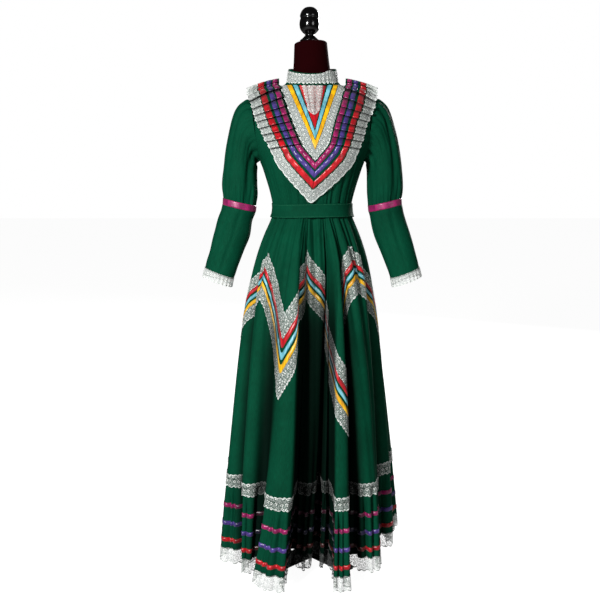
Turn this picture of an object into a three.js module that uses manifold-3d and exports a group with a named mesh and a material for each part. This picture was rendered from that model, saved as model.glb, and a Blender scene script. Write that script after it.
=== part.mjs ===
// A long folk dance dress of the Jalisco kind, worn by a limbless dress form on a low stand.
// Millimetres, +Z up, the front faces -Y. The origin is under the pole, on the floor.
// Azimuths are degrees round the pole: 0 is the front (-Y), 90 is +X.
import * as THREE from "three";
import Module from "manifold-3d";
import { mergeVertices } from "three/addons/utils/BufferGeometryUtils.js";

const wasm = await Module();
wasm.setup();

// ---- driving dimensions ----
const CLOTH = 1.2; // wall of the green cloth
const TRIM = 1; // wall of a ribbon or a lace
const SEAM = 0.3; // gap between pieces that are sewn to each other
const LIFT = 0.3; // gap under a trim that shares its panel's points
const RIBBON_LIFT = 0.9; // gap under a trim that lies across its panel's facets
const BRIDGE = 1.8; // gap under a piece whose facets differ from those below it

const WAIST_Z = 1045; // seam between bodice and skirt
const HIP_Z = 900; // below this the folds swing to their places at the hem
const FLOUNCE_Z = 270; // seam between skirt and flounce
const CLOTH_HEM_Z = 70; // lower edge of the flounce's cloth
const HEM_Z = 28; // lower edge of the hem lace
const ARMPIT_Z = 1182;
const SHOULDER_END_Z = 1358;
const ARMPIT_X = 149;
const SHOULDER_END_X = 172;

const radians = THREE.MathUtils.degToRad;
const mix = THREE.MathUtils.lerp;
const smooth = (x, from, to) => THREE.MathUtils.smoothstep(x, from, to);
const point = (x, y, z) => new THREE.Vector3(x, y, z);
const around = (count) => Array.from({ length: count }, (_, i) => (360 * i) / count);

// Rows of values under named columns, as objects.
const table = (columns, rows) =>
  rows.map((row) => Object.fromEntries(columns.map((name, i) => [name, row[i]])));

// Straight interpolation of a table's columns by its z.
function rowAt(rows, z) {
  const below = rows.findIndex((row) => row.z >= z);
  if (below === 0) return rows[0];
  if (below < 0) return rows[rows.length - 1];
  const a = rows[below - 1];
  const b = rows[below];
  const t = (z - a.z) / (b.z - a.z);
  return Object.fromEntries(Object.keys(a).map((key) => [key, mix(a[key], b[key], t)]));
}

// A point of a rounded section: half wide to each side, front and back deep, squareness 2 is an ellipse.
function sectionPoint({ z, half, front, back, lean = 0 }, azimuth, squareness = 2.25) {
  const s = Math.sin(radians(azimuth));
  const c = Math.cos(radians(azimuth));
  const power = 2 / squareness;
  const depth = c > 0 ? front : back;
  return point(
    lean + half * Math.sign(s) * Math.abs(s) ** power,
    -depth * Math.sign(c) * Math.abs(c) ** power,
    z,
  );
}

// ---- thin walls on a grid of points: rows run down, columns run counter-clockwise seen from above ----

// For each grid point, the move that carries it 1 mm off the surface, with the corners mitred.
function movesOut(grid, closed) {
  const rows = grid.length;
  const columns = grid[0].length;
  const at = (r, c) => grid[r][closed ? (c + columns) % columns : c];
  const inside = (r, c) => r >= 0 && r < rows && (closed || (c >= 0 && c < columns));
  return grid.map((row, r) =>
    row.map((here, c) => {
      const normals = [];
      for (const [dr, dc] of [[1, 1], [1, -1], [-1, -1], [-1, 1]]) {
        if (!inside(r + dr, c) || !inside(r, c + dc)) continue;
        const down = at(r + dr, c).clone().sub(here).multiplyScalar(dr);
        const along = at(r, c + dc).clone().sub(here).multiplyScalar(dc);
        const normal = down.cross(along);
        if (normal.length() > 1e-6) normals.push(normal.normalize());
      }
      const out = normals.reduce((sum, n) => sum.add(n), point(0, 0, 0)).normalize();
      const lean = normals.reduce((sum, n) => sum + n.dot(out), 0) / normals.length;
      return out.divideScalar(Math.max(lean, 0.55));
    }),
  );
}

// The closed wall between two distances off a grid: from is its inner face and to its outer face.
function wall(grid, moves, from, to, closed) {
  const rows = grid.length;
  const columns = grid[0].length;
  const position = [];
  for (const distance of [to, from])
    grid.forEach((row, r) =>
      row.forEach((p, c) => position.push(...p.clone().addScaledVector(moves[r][c], distance))),
    );
  const index = [];
  const id = (face, r, c) => (face * rows + r) * columns + (closed ? (c + columns) % columns : c);
  const quad = (a, b, c, d) => index.push(a, b, c, a, c, d);
  const lastColumn = closed ? columns : columns - 1;
  for (let c = 0; c < lastColumn; c++) {
    for (let r = 0; r < rows - 1; r++) {
      quad(id(0, r, c), id(0, r + 1, c), id(0, r + 1, c + 1), id(0, r, c + 1));
      quad(id(1, r, c), id(1, r, c + 1), id(1, r + 1, c + 1), id(1, r + 1, c));
    }
    quad(id(0, 0, c), id(0, 0, c + 1), id(1, 0, c + 1), id(1, 0, c));
    quad(id(0, rows - 1, c), id(1, rows - 1, c), id(1, rows - 1, c + 1), id(0, rows - 1, c + 1));
  }
  for (let r = 0; r < rows - 1 && !closed; r++) {
    quad(id(0, r, 0), id(1, r, 0), id(1, r + 1, 0), id(0, r + 1, 0));
    quad(id(0, r, columns - 1), id(0, r + 1, columns - 1), id(1, r + 1, columns - 1), id(1, r, columns - 1));
  }
  return geometryOf(position, index);
}

function geometryOf(position, index) {
  const geometry = new THREE.BufferGeometry();
  geometry.setAttribute("position", new THREE.Float32BufferAttribute(position, 3));
  geometry.setIndex(index);
  return geometry;
}

// A solid lofted through rings of equal length, listed from the top down, with flat ends.
function loft(rings) {
  const columns = rings[0].length;
  const position = rings.flat().flatMap((p) => [p.x, p.y, p.z]);
  const middle = (ring) => ring.reduce((sum, p) => sum.add(p), point(0, 0, 0)).divideScalar(columns);
  position.push(...middle(rings[0]), ...middle(rings[rings.length - 1]));
  const top = rings.length * columns;
  const index = [];
  for (let c = 0; c < columns; c++) {
    const d = (c + 1) % columns;
    for (let r = 0; r < rings.length - 1; r++) {
      const a = r * columns;
      const b = a + columns;
      index.push(a + c, b + c, b + d, a + c, b + d, a + d);
    }
    const last = (rings.length - 1) * columns;
    index.push(top, c, d, top + 1, last + d, last + c);
  }
  return geometryOf(position, index);
}

// ---- cuts and joins ----
function solidOf(geometry) {
  const bare = geometry.clone();
  bare.deleteAttribute("normal");
  bare.deleteAttribute("uv");
  const merged = mergeVertices(bare, 1e-4);
  return new wasm.Manifold(
    new wasm.Mesh({
      numProp: 3,
      vertProperties: new Float32Array(merged.attributes.position.array),
      triVerts: new Uint32Array(merged.index.array),
    }),
  );
}

function geometryOfSolid(solid) {
  const mesh = solid.getMesh();
  return geometryOf(Array.from(mesh.vertProperties), Array.from(mesh.triVerts));
}

// A block whose lowest and highest corners are given, for halving a solid.
function block(low, high) {
  const size = high.clone().sub(low);
  const box = new THREE.BoxGeometry(size.x, size.y, size.z);
  box.translate(...low.clone().addScaledVector(size, 0.5));
  return solidOf(box);
}

// ---- the group ----
const dress = new THREE.Group();
dress.name = "jalisco_dress_on_form";
const paint = (color, roughness, metalness = 0) =>
  new THREE.MeshStandardMaterial({ color, roughness, metalness });
const finish = {
  cloth: paint(0x0b4a30, 0.7),
  lace: paint(0xe9e7e2, 0.8),
  scarlet: paint(0xc3142a, 0.35),
  sky: paint(0x7cc4d6, 0.35),
  gold: paint(0xf2b705, 0.35),
  magenta: paint(0xa8156e, 0.35),
  violet: paint(0x4a2a86, 0.35),
  velvet: paint(0x2a0306, 0.9),
  lacquer: paint(0x060606, 0.15),
  iron: paint(0x161616, 0.45, 0.5),
};
function add(name, geometry, material) {
  const mesh = new THREE.Mesh(geometry, material);
  mesh.name = name;
  dress.add(mesh);
}

// ---- the dress form ----
const FORM = [
  { z: 775, half: 146, front: 94, back: 104, lean: 0 },
  { z: 850, half: 150, front: 98, back: 110, lean: 0 },
  { z: 930, half: 138, front: 93, back: 102, lean: 0 },
  { z: 1000, half: 114, front: 84, back: 86, lean: 0 },
  { z: 1045, half: 105, front: 80, back: 80, lean: 0 },
  { z: 1100, half: 111, front: 90, back: 82, lean: 0 },
  { z: 1160, half: 122, front: 110, back: 88, lean: 0 },
  { z: 1210, half: 130, front: 117, back: 91, lean: 0 },
  { z: 1265, half: 138, front: 106, back: 92, lean: 0 },
  { z: 1310, half: 148, front: 88, back: 88, lean: 0 },
  { z: 1342, half: 157.5, front: 69, back: 78, lean: 0 },
  { z: 1363, half: 141, front: 55, back: 65, lean: 0 },
  { z: 1386, half: 93, front: 51, back: 56, lean: 0 },
  { z: 1404, half: 60, front: 51, back: 52, lean: 0 },
  { z: 1440, half: 52, front: 49, back: 50, lean: -2 },
  { z: 1506, half: 46, front: 46, back: 46, lean: -5 },
  { z: 1514, half: 40, front: 40, back: 40, lean: -5 },
];
const NECK_TOP_Z = 1514;
const NECK_TOP_X = -5;
const FORM_SIDES = around(20);
add(
  "form_body",
  loft([...FORM].reverse().map((row) => FORM_SIDES.map((azimuth) => sectionPoint(row, azimuth, 2.15)))),
  finish.velvet,
);

// Turned knob on the neck: radius and height above its seat, from the bottom up.
const FINIAL_SEAT = 0.3;
const FINIAL = [
  { r: 27, h: 0 }, { r: 27, h: 4 }, { r: 21, h: 9 }, { r: 14, h: 16 }, { r: 13, h: 20 },
  { r: 19, h: 25 }, { r: 26, h: 34 }, { r: 28.5, h: 46 }, { r: 27.5, h: 58 }, { r: 25.5, h: 64 },
  { r: 27, h: 68 }, { r: 26.5, h: 74 }, { r: 22, h: 84 }, { r: 13, h: 92 },
];
const finialProfile = [
  new THREE.Vector2(0, 0),
  ...FINIAL.map(({ r, h }) => new THREE.Vector2(r, h)),
  new THREE.Vector2(0, 95),
];
const finial = new THREE.LatheGeometry(finialProfile, 14);
finial.rotateX(Math.PI / 2);
finial.translate(NECK_TOP_X - 3, 0, NECK_TOP_Z + FINIAL_SEAT);
add("form_finial", finial, finish.lacquer);

// Pole and a flat three-armed foot whose underside is the floor.
const FOOT_THICK = 10;
const FOOT = { hub: 42, arm: 165, half: 19, azimuths: [-42, 40, 180] };
const POLE_RADIUS = 14;
const footOutline = [];
FOOT.azimuths.forEach((azimuth, i) => {
  const along = new THREE.Vector2(Math.sin(radians(azimuth)), -Math.cos(radians(azimuth)));
  const across = new THREE.Vector2(-along.y, along.x);
  const next = FOOT.azimuths[(i + 1) % FOOT.azimuths.length] + (i + 1 === FOOT.azimuths.length ? 360 : 0);
  const between = radians((azimuth + next) / 2);
  for (const side of [-1, 1]) {
    const reach = along.clone().multiplyScalar(FOOT.arm).addScaledVector(across, side * FOOT.half);
    footOutline.push(reach);
  }
  footOutline.push(new THREE.Vector2(Math.sin(between), -Math.cos(between)).multiplyScalar(FOOT.hub));
});
const footShape = new THREE.Shape(footOutline);
const foot = new THREE.ExtrudeGeometry(footShape, { depth: FOOT_THICK, bevelEnabled: false });
add("form_foot", foot, finish.iron);

const poleBottom = FOOT_THICK + SEAM;
const poleTop = FORM[0].z - SEAM;
const pole = new THREE.CylinderGeometry(POLE_RADIUS, POLE_RADIUS, poleTop - poleBottom, 16);
pole.rotateX(Math.PI / 2);
pole.translate(0, 0, (poleTop + poleBottom) / 2);
add("form_pole", pole, finish.iron);

// ---- the bodice: one shell, cut into a front and a back at the sides and along the shoulders ----
const BODICE = [
  { z: 1045, half: 111, front: 88, back: 87 },
  { z: 1095, half: 121, front: 103, back: 92 },
  { z: 1138, half: 134, front: 120, back: 99 },
  { z: 1180, half: 149, front: 129, back: 103 },
  { z: 1215, half: 170, front: 129, back: 104 },
  { z: 1265, half: 187, front: 117, back: 104 },
  { z: 1325, half: 189, front: 91, back: 94 },
  { z: 1358, half: 174, front: 64, back: 73 },
  { z: 1376, half: 128, front: 57, back: 64 },
  { z: 1392, half: 88, front: 55, back: 60 },
];
const BODICE_SIDES = around(24);
const NECK_HALF = 71;
const NECK_FRONT = 60;
const NECK_BACK = 57;
const neckZ = (azimuth) => 1402 - 9 * Math.cos(radians(azimuth));
const bodiceRows = BODICE.map((row) => BODICE_SIDES.map((azimuth) => sectionPoint(row, azimuth)));
bodiceRows.push(
  BODICE_SIDES.map((azimuth) =>
    sectionPoint({ z: neckZ(azimuth), half: NECK_HALF, front: NECK_FRONT, back: NECK_BACK }, azimuth),
  ),
);
bodiceRows.reverse();
const bodiceMoves = movesOut(bodiceRows, true);
const bodiceLayer = (from, to) => solidOf(wall(bodiceRows, bodiceMoves, from, to, true));

// The armhole lies in a plane that leans out from the armpit to the shoulder's end.
const ARMHOLE_SLOPE = (SHOULDER_END_X - ARMPIT_X) / (SHOULDER_END_Z - ARMPIT_Z);
const armholeX = (z) => ARMPIT_X + (z - ARMPIT_Z) * ARMHOLE_SLOPE;
function armholeBlock(side) {
  const outer = 400;
  const shape = new THREE.Shape([
    new THREE.Vector2(armholeX(1100), 1100),
    new THREE.Vector2(outer, 1100),
    new THREE.Vector2(outer, 1450),
    new THREE.Vector2(armholeX(1450), 1450),
  ]);
  const prism = new THREE.ExtrudeGeometry(shape, { depth: 400, bevelEnabled: false });
  prism.rotateX(Math.PI / 2);
  prism.translate(0, 200, 0);
  const solid = solidOf(prism);
  return side > 0 ? solid : solid.mirror([1, 0, 0]);
}
const bodiceShell = bodiceLayer(-CLOTH, 0).subtract(armholeBlock(1)).subtract(armholeBlock(-1));
const REACH = 500;
const frontHalf = block(point(-REACH, -REACH, 0), point(REACH, -SEAM / 2, 2000));
const backHalf = block(point(-REACH, SEAM / 2, 0), point(REACH, REACH, 2000));
add("bodice_front", geometryOfSolid(bodiceShell.intersect(frontHalf)), finish.cloth);
add("bodice_back", geometryOfSolid(bodiceShell.intersect(backHalf)), finish.cloth);

// How far the smooth bodice stands from y = 0 at a place on its front or back.
function bodiceDepth(x, z, facing) {
  const row = rowAt(BODICE, Math.min(z, 1391));
  const deep = facing < 0 ? row.front : row.back;
  const share = Math.min(Math.abs(x) / row.half, 1);
  const body = deep * (1 - share ** 2.25) ** (1 / 2.25);
  // Past the armhole the sleeve's head is what stands there.
  const up = THREE.MathUtils.clamp(((z - ARMPIT_Z) / (SHOULDER_END_Z - ARMPIT_Z)) * 2 - 1, -1, 1);
  const sleeve = (facing < 0 ? 73 : 66) * Math.sqrt(1 - up * up);
  return Math.max(body, sleeve * smooth(Math.abs(x), 140, 168));
}

// ---- collar and its lace ----
const COLLAR = { half: 70, front: 62, back: 58, topHalf: 67, topFront: 60, topBack: 56 };
const COLLAR_SIDES = around(24);
const collarBaseZ = (azimuth) => neckZ(azimuth) + 0.8;
const collarTopZ = (azimuth) => 1437 - 12 * Math.cos(radians(azimuth)) - 3 * Math.cos(radians(2 * azimuth));
function collarPoint(azimuth, share) {
  const section = {
    z: mix(collarTopZ(azimuth), collarBaseZ(azimuth), share),
    half: mix(COLLAR.topHalf, COLLAR.half, share),
    front: mix(COLLAR.topFront, COLLAR.front, share),
    back: mix(COLLAR.topBack, COLLAR.back, share),
  };
  return sectionPoint(section, azimuth, 2.1);
}
const COLLAR_SHARES = [0, 0.12, 0.94, 1];
const collarRows = COLLAR_SHARES.map((share) => COLLAR_SIDES.map((azimuth) => collarPoint(azimuth, share)));
const collarMoves = movesOut(collarRows, true);
add("collar", wall(collarRows, collarMoves, -CLOTH, 0, true), finish.cloth);
add(
  "collar_lace",
  wall(collarRows.slice(1, 3), collarMoves.slice(1, 3), LIFT, LIFT + TRIM, true),
  finish.lace,
);

// ---- bib: V-shaped ribbons and laces laid on the bodice front ----
// Each stripe is the band between two V lines: half-width at the neckline, height of the point and, where the
// line bends on its way down, the knee.
const BIB_TOP_Z = 1392;
const BIB = [
  { name: "bib_lace_v", outer: [91, 1184, [35, 1228]], inner: [72, 1211], material: finish.lace },
  { name: "bib_ribbon_gold", outer: [71, 1213], inner: [58, 1237], material: finish.gold },
  { name: "bib_ribbon_sky", outer: [54, 1240], inner: [42, 1262], material: finish.sky },
  { name: "bib_panel_scarlet", outer: [38, 1269], inner: null, material: finish.scarlet },
];
function vOutline([half, tip, knee]) {
  const down = [[half, BIB_TOP_Z], ...(knee ? [knee] : [])];
  const left = down.map(([x, z]) => new THREE.Vector2(-x, z));
  const right = down.map(([x, z]) => new THREE.Vector2(x, z)).reverse();
  return [...left, new THREE.Vector2(0, tip), ...right];
}
function prismThrough(points) {
  const prism = new THREE.ExtrudeGeometry(new THREE.Shape(points), { depth: 200, bevelEnabled: false });
  prism.rotateX(Math.PI / 2);
  return solidOf(prism);
}
for (const { name, outer, inner, material } of BIB) {
  const outline = inner ? [...vOutline(outer), ...vOutline(inner).reverse()] : vOutline(outer);
  add(name, geometryOfSolid(bodiceLayer(LIFT, LIFT + TRIM).intersect(prismThrough(outline))), material);
}
const JABOT = [[-28, 1391], [-19, 1340], [-17, 1324], [0, 1304], [17, 1324], [19, 1340], [28, 1391]];
const jabotOutline = JABOT.map(([x, z]) => new THREE.Vector2(x, z));
const jabotLayer = bodiceLayer(2 * LIFT + TRIM, 2 * (LIFT + TRIM));
add("bib_lace_centre", geometryOfSolid(jabotLayer.intersect(prismThrough(jabotOutline))), finish.lace);

// ---- pleated ruffle round the bib, over the shoulders and down the back ----
// Stations down one side: inner and outer edge in front view; height is how far it stands off the bodice.
const RUFFLE_FRONT = {
  facing: -1,
  pleats: 8,
  top: { inner: [94, 1394], outer: [184, 1362] },
  turn: { inner: [38, 1229], outer: [125, 1218] },
  lower: [
    { inner: [30, 1219], outer: [106, 1172] },
    { inner: [20, 1207], outer: [74, 1135] },
    { inner: [11, 1197], outer: [42, 1103] },
  ],
  tip: { inner: [0, 1183], outer: [0, 1064] },
};
const RUFFLE_BACK = {
  facing: 1,
  pleats: 5,
  top: { inner: [94, 1394], outer: [184, 1362] },
  turn: { inner: [36, 1262], outer: [126, 1232] },
  lower: [{ inner: [15, 1240], outer: [84, 1180] }],
  tip: { inner: [0, 1226], outer: [0, 1122] },
};
const PLEAT_LOW = 3.5;
const PLEAT_HIGH = 10;
const PLEAT_DROP = 0.16; // share of a pleat taken by the step down to the next
const FIRST_PLEAT = 0.36; // share of the first pleat taken by the crest of the shoulder
const RUFFLE_BRIDGE = 1.7;
const RUFFLE_WIDTHS = [0, 0.5, 1];
const CREST = { inner: [94, 1400], middle: [138, 1392], outer: [184, 1373] };

// One station across the ruffle, from the inner to the outer edge.
function ruffleStation({ inner, outer }, side, facing, height) {
  return RUFFLE_WIDTHS.map((share) => {
    const x = mix(inner[0], outer[0], share);
    const z = mix(inner[1], outer[1], share);
    const bulge = share === 0.5 ? 5 : 0;
    const off = height + bulge + 3 * share;
    const depth = bodiceDepth(x, z, facing);
    // Over the shoulder the ruffle rises instead of standing forward.
    const over = smooth(z, 1325, 1375) * 0.8;
    return point(side * x, facing * (depth + off * (1 - over)), z + off * over);
  });
}
function blendStations(a, b, t) {
  return {
    inner: [mix(a.inner[0], b.inner[0], t), mix(a.inner[1], b.inner[1], t)],
    outer: [mix(a.outer[0], b.outer[0], t), mix(a.outer[1], b.outer[1], t)],
  };
}
function ruffleSide(plan, side) {
  const stations = [];
  for (let pleat = 0; pleat < plan.pleats; pleat++) {
    const from = (pleat + (pleat ? PLEAT_DROP : FIRST_PLEAT)) / plan.pleats;
    const to = (pleat + 1) / plan.pleats;
    stations.push(ruffleStation(blendStations(plan.top, plan.turn, from), side, plan.facing, PLEAT_LOW));
    stations.push(ruffleStation(blendStations(plan.top, plan.turn, to), side, plan.facing, PLEAT_HIGH));
  }
  plan.lower.forEach((station) => stations.push(ruffleStation(station, side, plan.facing, PLEAT_LOW + 1)));
  return stations;
}
const crestStation = (side) =>
  [CREST.inner, CREST.middle, CREST.outer].map(([x, z]) => point(side * x, 0, z));
const ruffleStations = [
  ...ruffleSide(RUFFLE_FRONT, -1).reverse(),
  crestStation(-1),
  ...ruffleSide(RUFFLE_BACK, -1),
  ruffleStation(RUFFLE_BACK.tip, 1, 1, PLEAT_LOW + 1),
  ...ruffleSide(RUFFLE_BACK, 1).reverse(),
  crestStation(1),
  ...ruffleSide(RUFFLE_FRONT, 1),
  ruffleStation(RUFFLE_FRONT.tip, 1, -1, PLEAT_LOW + 1),
].reverse();
const ruffleRow = (share) =>
  ruffleStations.map(([inner, middle, outer]) =>
    share < 0.5 ? inner.clone().lerp(middle, share * 2) : middle.clone().lerp(outer, share * 2 - 1),
  );
function ruffleBand(name, shares, from, to, material) {
  const rows = shares.map(ruffleRow);
  add(name, wall(rows, movesOut(rows, true), from, to, true), material);
}
ruffleBand("ruffle", [0, 0.5, 0.8], -CLOTH, 0, finish.cloth);
ruffleBand("ruffle_ribbon_magenta", [0.05, 0.2], RUFFLE_BRIDGE, RUFFLE_BRIDGE + TRIM, finish.magenta);
ruffleBand("ruffle_ribbon_violet", [0.25, 0.39], RUFFLE_BRIDGE, RUFFLE_BRIDGE + TRIM, finish.violet);
ruffleBand("ruffle_ribbon_scarlet", [0.47, 0.5, 0.64], RUFFLE_BRIDGE, RUFFLE_BRIDGE + TRIM, finish.scarlet);
ruffleBand("ruffle_lace", [0.66, 1], RUFFLE_BRIDGE, RUFFLE_BRIDGE + TRIM, finish.lace);

// ---- sleeves ----
// Rings down the sleeve: outer and inner side in front view, half depth, and how far forward it hangs.
const SLEEVE_UPPER = [
  { outX: 192, outZ: 1358, inX: 154, inZ: 1178, depth: 70, forward: 0 },
  { outX: 218, outZ: 1325, inX: 156, inZ: 1174, depth: 67, forward: 1 },
  { outX: 243, outZ: 1245, inX: 158, inZ: 1158, depth: 60, forward: 4 },
  { outX: 256, outZ: 1125, inX: 157, inZ: 1095, depth: 53, forward: 9 },
  { outX: 255, outZ: 1078, inX: 160, inZ: 1056, depth: 44, forward: 12 },
];
const SLEEVE_BAND = [
  { outX: 255, outZ: 1077.6, inX: 160.1, inZ: 1055.6, depth: 44, forward: 12 },
  { outX: 257, outZ: 1064, inX: 162, inZ: 1042, depth: 44, forward: 12.5 },
];
const SLEEVE_LOWER = [
  { outX: 257.2, outZ: 1063.6, inX: 162.1, inZ: 1041.6, depth: 44, forward: 12.5 },
  { outX: 274, outZ: 1008, inX: 180, inZ: 975, depth: 43, forward: 17 },
  { outX: 309, outZ: 880, inX: 227, inZ: 848, depth: 39, forward: 30 },
];
const SLEEVE_LACE = [
  { outX: 309.1, outZ: 879.6, inX: 227.1, inZ: 847.6, depth: 39, forward: 30 },
  { outX: 313, outZ: 860, inX: 232, inZ: 829, depth: 39, forward: 32 },
];
const SLEEVE_SIDES = around(12);
const HEAD_GAP = 0.7;

// A sleeve ring, wound so that the wall's outer face looks out on either side of the body.
function sleeveRing({ outX, outZ, inX, inZ, depth, forward }, side) {
  return SLEEVE_SIDES.map((turn) => {
    const across = Math.sin(radians(turn)) * side;
    const share = (1 + across) / 2;
    const y = -forward - depth * Math.cos(radians(turn));
    return point(side * mix(inX, outX, share), y, mix(inZ, outZ, share));
  });
}
// The first ring follows the armhole's oval in its plane.
function armholeRing(side) {
  const low = ARMPIT_Z + 2;
  const high = SHOULDER_END_Z - 1;
  return SLEEVE_SIDES.map((turn) => {
    const across = Math.sin(radians(turn)) * side;
    const z = mix(low, high, (1 + across) / 2);
    const x = armholeX(z) + HEAD_GAP;
    const facing = Math.cos(radians(turn)) > 0 ? -1 : 1;
    const deep = facing < 0 ? 72 : 64;
    return point(side * x, -deep * Math.cos(radians(turn)), z);
  });
}
function sleevePiece(name, rings, material, lift = 0) {
  const moves = movesOut(rings, true);
  add(name, wall(rings, moves, lift - (lift ? TRIM : CLOTH), lift, true), material);
}
for (const [label, side] of [["right", -1], ["left", 1]]) {
  const rings = (rows) => rows.map((row) => sleeveRing(row, side));
  sleevePiece(`sleeve_upper_${label}`, [armholeRing(side), ...rings(SLEEVE_UPPER)], finish.cloth);
  sleevePiece(`sleeve_band_${label}`, rings(SLEEVE_BAND), finish.magenta, TRIM / 2);
  sleevePiece(`sleeve_lower_${label}`, rings(SLEEVE_LOWER), finish.cloth);
  sleevePiece(`cuff_lace_${label}`, rings(SLEEVE_LACE), finish.lace, 0.01);
}

// ---- the skirt ----
// One row for each fold of the hanging cloth, going round. hipL and hipR are the azimuths of its two edges at
// the hip, hemL and hemR at the hem; out is its radius there; valL, valR and dip are the valley after it;
// hem is how high its lower edge hangs. swing is how late it turns aside on its way down, flare how late it
// widens.
const FOLDS = table(
  ["name", "hipL", "hipR", "hemL", "hemR", "out", "valL", "valR", "dip", "hem", "swing", "flare"],
  [
    ["left_side", -82, -70, -74, -61, 290, -57, -57, 222, 30, 2.2, 0.52],
    ["left_front", -62, -52, -53, -43, 285, -40, -40, 225, 34, 2.2, 0.5],
    ["big_left", -22, -8, -37, -13.5, 306, -24, -22, 150, 22, 2.6, 0.5],
    ["sunk_middle", -4, 13.8, -16, 0, 172, 0, 12, 92, 26, 1, 0.5],
    ["sunk_right", 17, 19.8, 7, 13, 166, 19, 19, 138, 30, 1, 0.5],
    ["big_right", 22, 28, 10.5, 23, 297, 22, 28, 165, 18, 0.6, 0.5],
    ["right_front", 32, 58, 37, 48, 262, 53, 53, 205, 36, 0.8, 0.5],
    ["right_side", 74, 88, 60, 76, 245, 86, 86, 225, 40, 2.2, 0.5],
    ["right_back", 102, 116, 105, 120, 290, 133, 133, 208, 52, 2.2, 0.64],
    ["back_1", 132, 145, 143, 156, 288, 165, 165, 200, 40, 2.2, 0.6],
    ["back_2", 163, 177, 172, 187, 296, 195, 195, 190, 34, 2.2, 0.5],
    ["back_3", 194, 208, 203, 217, 286, 226, 226, 205, 38, 2.2, 0.5],
    ["back_4", 223, 236, 235, 246, 282, 252, 252, 210, 36, 2.2, 0.5],
    ["left_back", 250, 264, 258, 272, 276, 279, 279, 214, 33, 2.2, 0.55],
  ],
);
const WAIST_RING = { half: 111, front: 88, back: 87 };
const FLARE_EASE = 0.055; // the skirt hangs straight from the belt for this share of the way
const FOLD_GROWTH = 0.85; // the valleys deepen almost evenly on the way down
const VALLEY_HEM_LIFT = 10;

// Columns of the cloth: each is an azimuth at hip and hem, the fold's radius and how deep it lies below it.
const skirtColumns = FOLDS.flatMap((fold, i) => {
  const next = FOLDS[(i + 1) % FOLDS.length];
  const nextHip = i + 1 < FOLDS.length ? next.hipL : next.hipL + 360;
  const ridge = (hip, hem) => ({
    hip,
    hem,
    out: fold.out,
    sink: 0,
    low: fold.hem,
    late: [fold.swing, fold.flare],
  });
  const out = (fold.out + next.out) / 2;
  const valley = (share, hem) => ({
    hip: mix(fold.hipR, nextHip, share),
    hem,
    out,
    sink: out - fold.dip,
    low: (fold.hem + next.hem) / 2 + VALLEY_HEM_LIFT,
    late: [(fold.swing + next.swing) / 2, (fold.flare + next.flare) / 2],
  });
  const valleys =
    fold.valL === fold.valR ? [valley(0.5, fold.valL)] : [valley(0.35, fold.valL), valley(0.65, fold.valR)];
  return [ridge(fold.hipL, fold.hemL), ridge(fold.hipR, fold.hemR), ...valleys];
});
const columnOf = (name, edge) => {
  let column = 0;
  for (const fold of FOLDS) {
    if (fold.name === name) return column + (edge === "R" ? 1 : 0);
    column += fold.valL === fold.valR ? 3 : 4;
  }
  throw new Error("no fold named " + name);
};

function waistRadius(azimuth) {
  const s = Math.abs(Math.sin(radians(azimuth))) / WAIST_RING.half;
  const c = Math.cos(radians(azimuth));
  const power = 2.25;
  const across = Math.abs(c) / (c > 0 ? WAIST_RING.front : WAIST_RING.back);
  return (s ** power + across ** power) ** (-1 / power);
}

const flare = (down, late) => down ** late * (1 - Math.exp(-down / FLARE_EASE)) ** 0.9;

// A point of the skirt's outer face on a column at a nominal height.
function skirtPoint(column, nominal) {
  const { hip, hem, out, sink, low, late } = column;
  const down = THREE.MathUtils.clamp((WAIST_Z - nominal) / (WAIST_Z - HEM_Z), 0, 1);
  const swing = THREE.MathUtils.clamp((HIP_Z - nominal) / (HIP_Z - HEM_Z), 0, 1) ** late[0];
  const azimuth = mix(hip, hem, swing);
  const waist = waistRadius(azimuth);
  const radius = waist + (out - waist) * flare(down, late[1]) - sink * down ** FOLD_GROWTH;
  const direction = radians(azimuth);
  const z = nominal + (low - HEM_Z) * down;
  return point(radius * Math.sin(direction), -radius * Math.cos(direction), z);
}

// The zigzag trim: at each named column, the height of its top edge and how far its stripes spread.
const ZIGZAG = [
  { fold: "left_back", edge: "R", top: 720, spread: 1.5 },
  { fold: "left_side", edge: "R", top: 885, spread: 1 },
  { fold: "left_front", edge: "R", top: 926, spread: 1 },
  { fold: "big_left", edge: "L", top: 768, spread: 1.8 },
  { fold: "big_left", edge: "R", top: 846, spread: 1.5 },
  { fold: "sunk_middle", edge: "L", top: 935, spread: 1 },
  { fold: "sunk_middle", edge: "R", top: 868, spread: 1 },
  { fold: "sunk_right", edge: "L", top: 790, spread: 1.15 },
  { fold: "big_right", edge: "L", top: 672, spread: 1.35 },
  { fold: "big_right", edge: "R", top: 620, spread: 1.42 },
  { fold: "right_front", edge: "L", top: 905, spread: 1 },
  { fold: "right_front", edge: "R", top: 952, spread: 1 },
  { fold: "right_side", edge: "L", top: 880, spread: 1 },
  { fold: "right_side", edge: "R", top: 720, spread: 1.5 },
  { fold: "right_back", edge: "R", top: 940, spread: 1 },
  { fold: "back_1", edge: "R", top: 690, spread: 1.5 },
  { fold: "back_2", edge: "R", top: 930, spread: 1 },
  { fold: "back_3", edge: "R", top: 690, spread: 1.5 },
  { fold: "back_4", edge: "R", top: 930, spread: 1 },
];
const STRIPES = [
  { name: "zigzag_lace_upper", from: 0, to: 36, material: finish.lace },
  { name: "zigzag_ribbon_scarlet", from: 37.7, to: 51, material: finish.scarlet },
  { name: "zigzag_ribbon_sky", from: 58, to: 69, material: finish.sky },
  { name: "zigzag_ribbon_gold", from: 76, to: 89, material: finish.gold },
  { name: "zigzag_lace_lower", from: 90, to: 126, material: finish.lace },
];
const corners = ZIGZAG.map((corner) => ({ ...corner, column: columnOf(corner.fold, corner.edge) })).sort(
  (a, b) => a.column - b.column,
);
const COUNT = skirtColumns.length;
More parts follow.
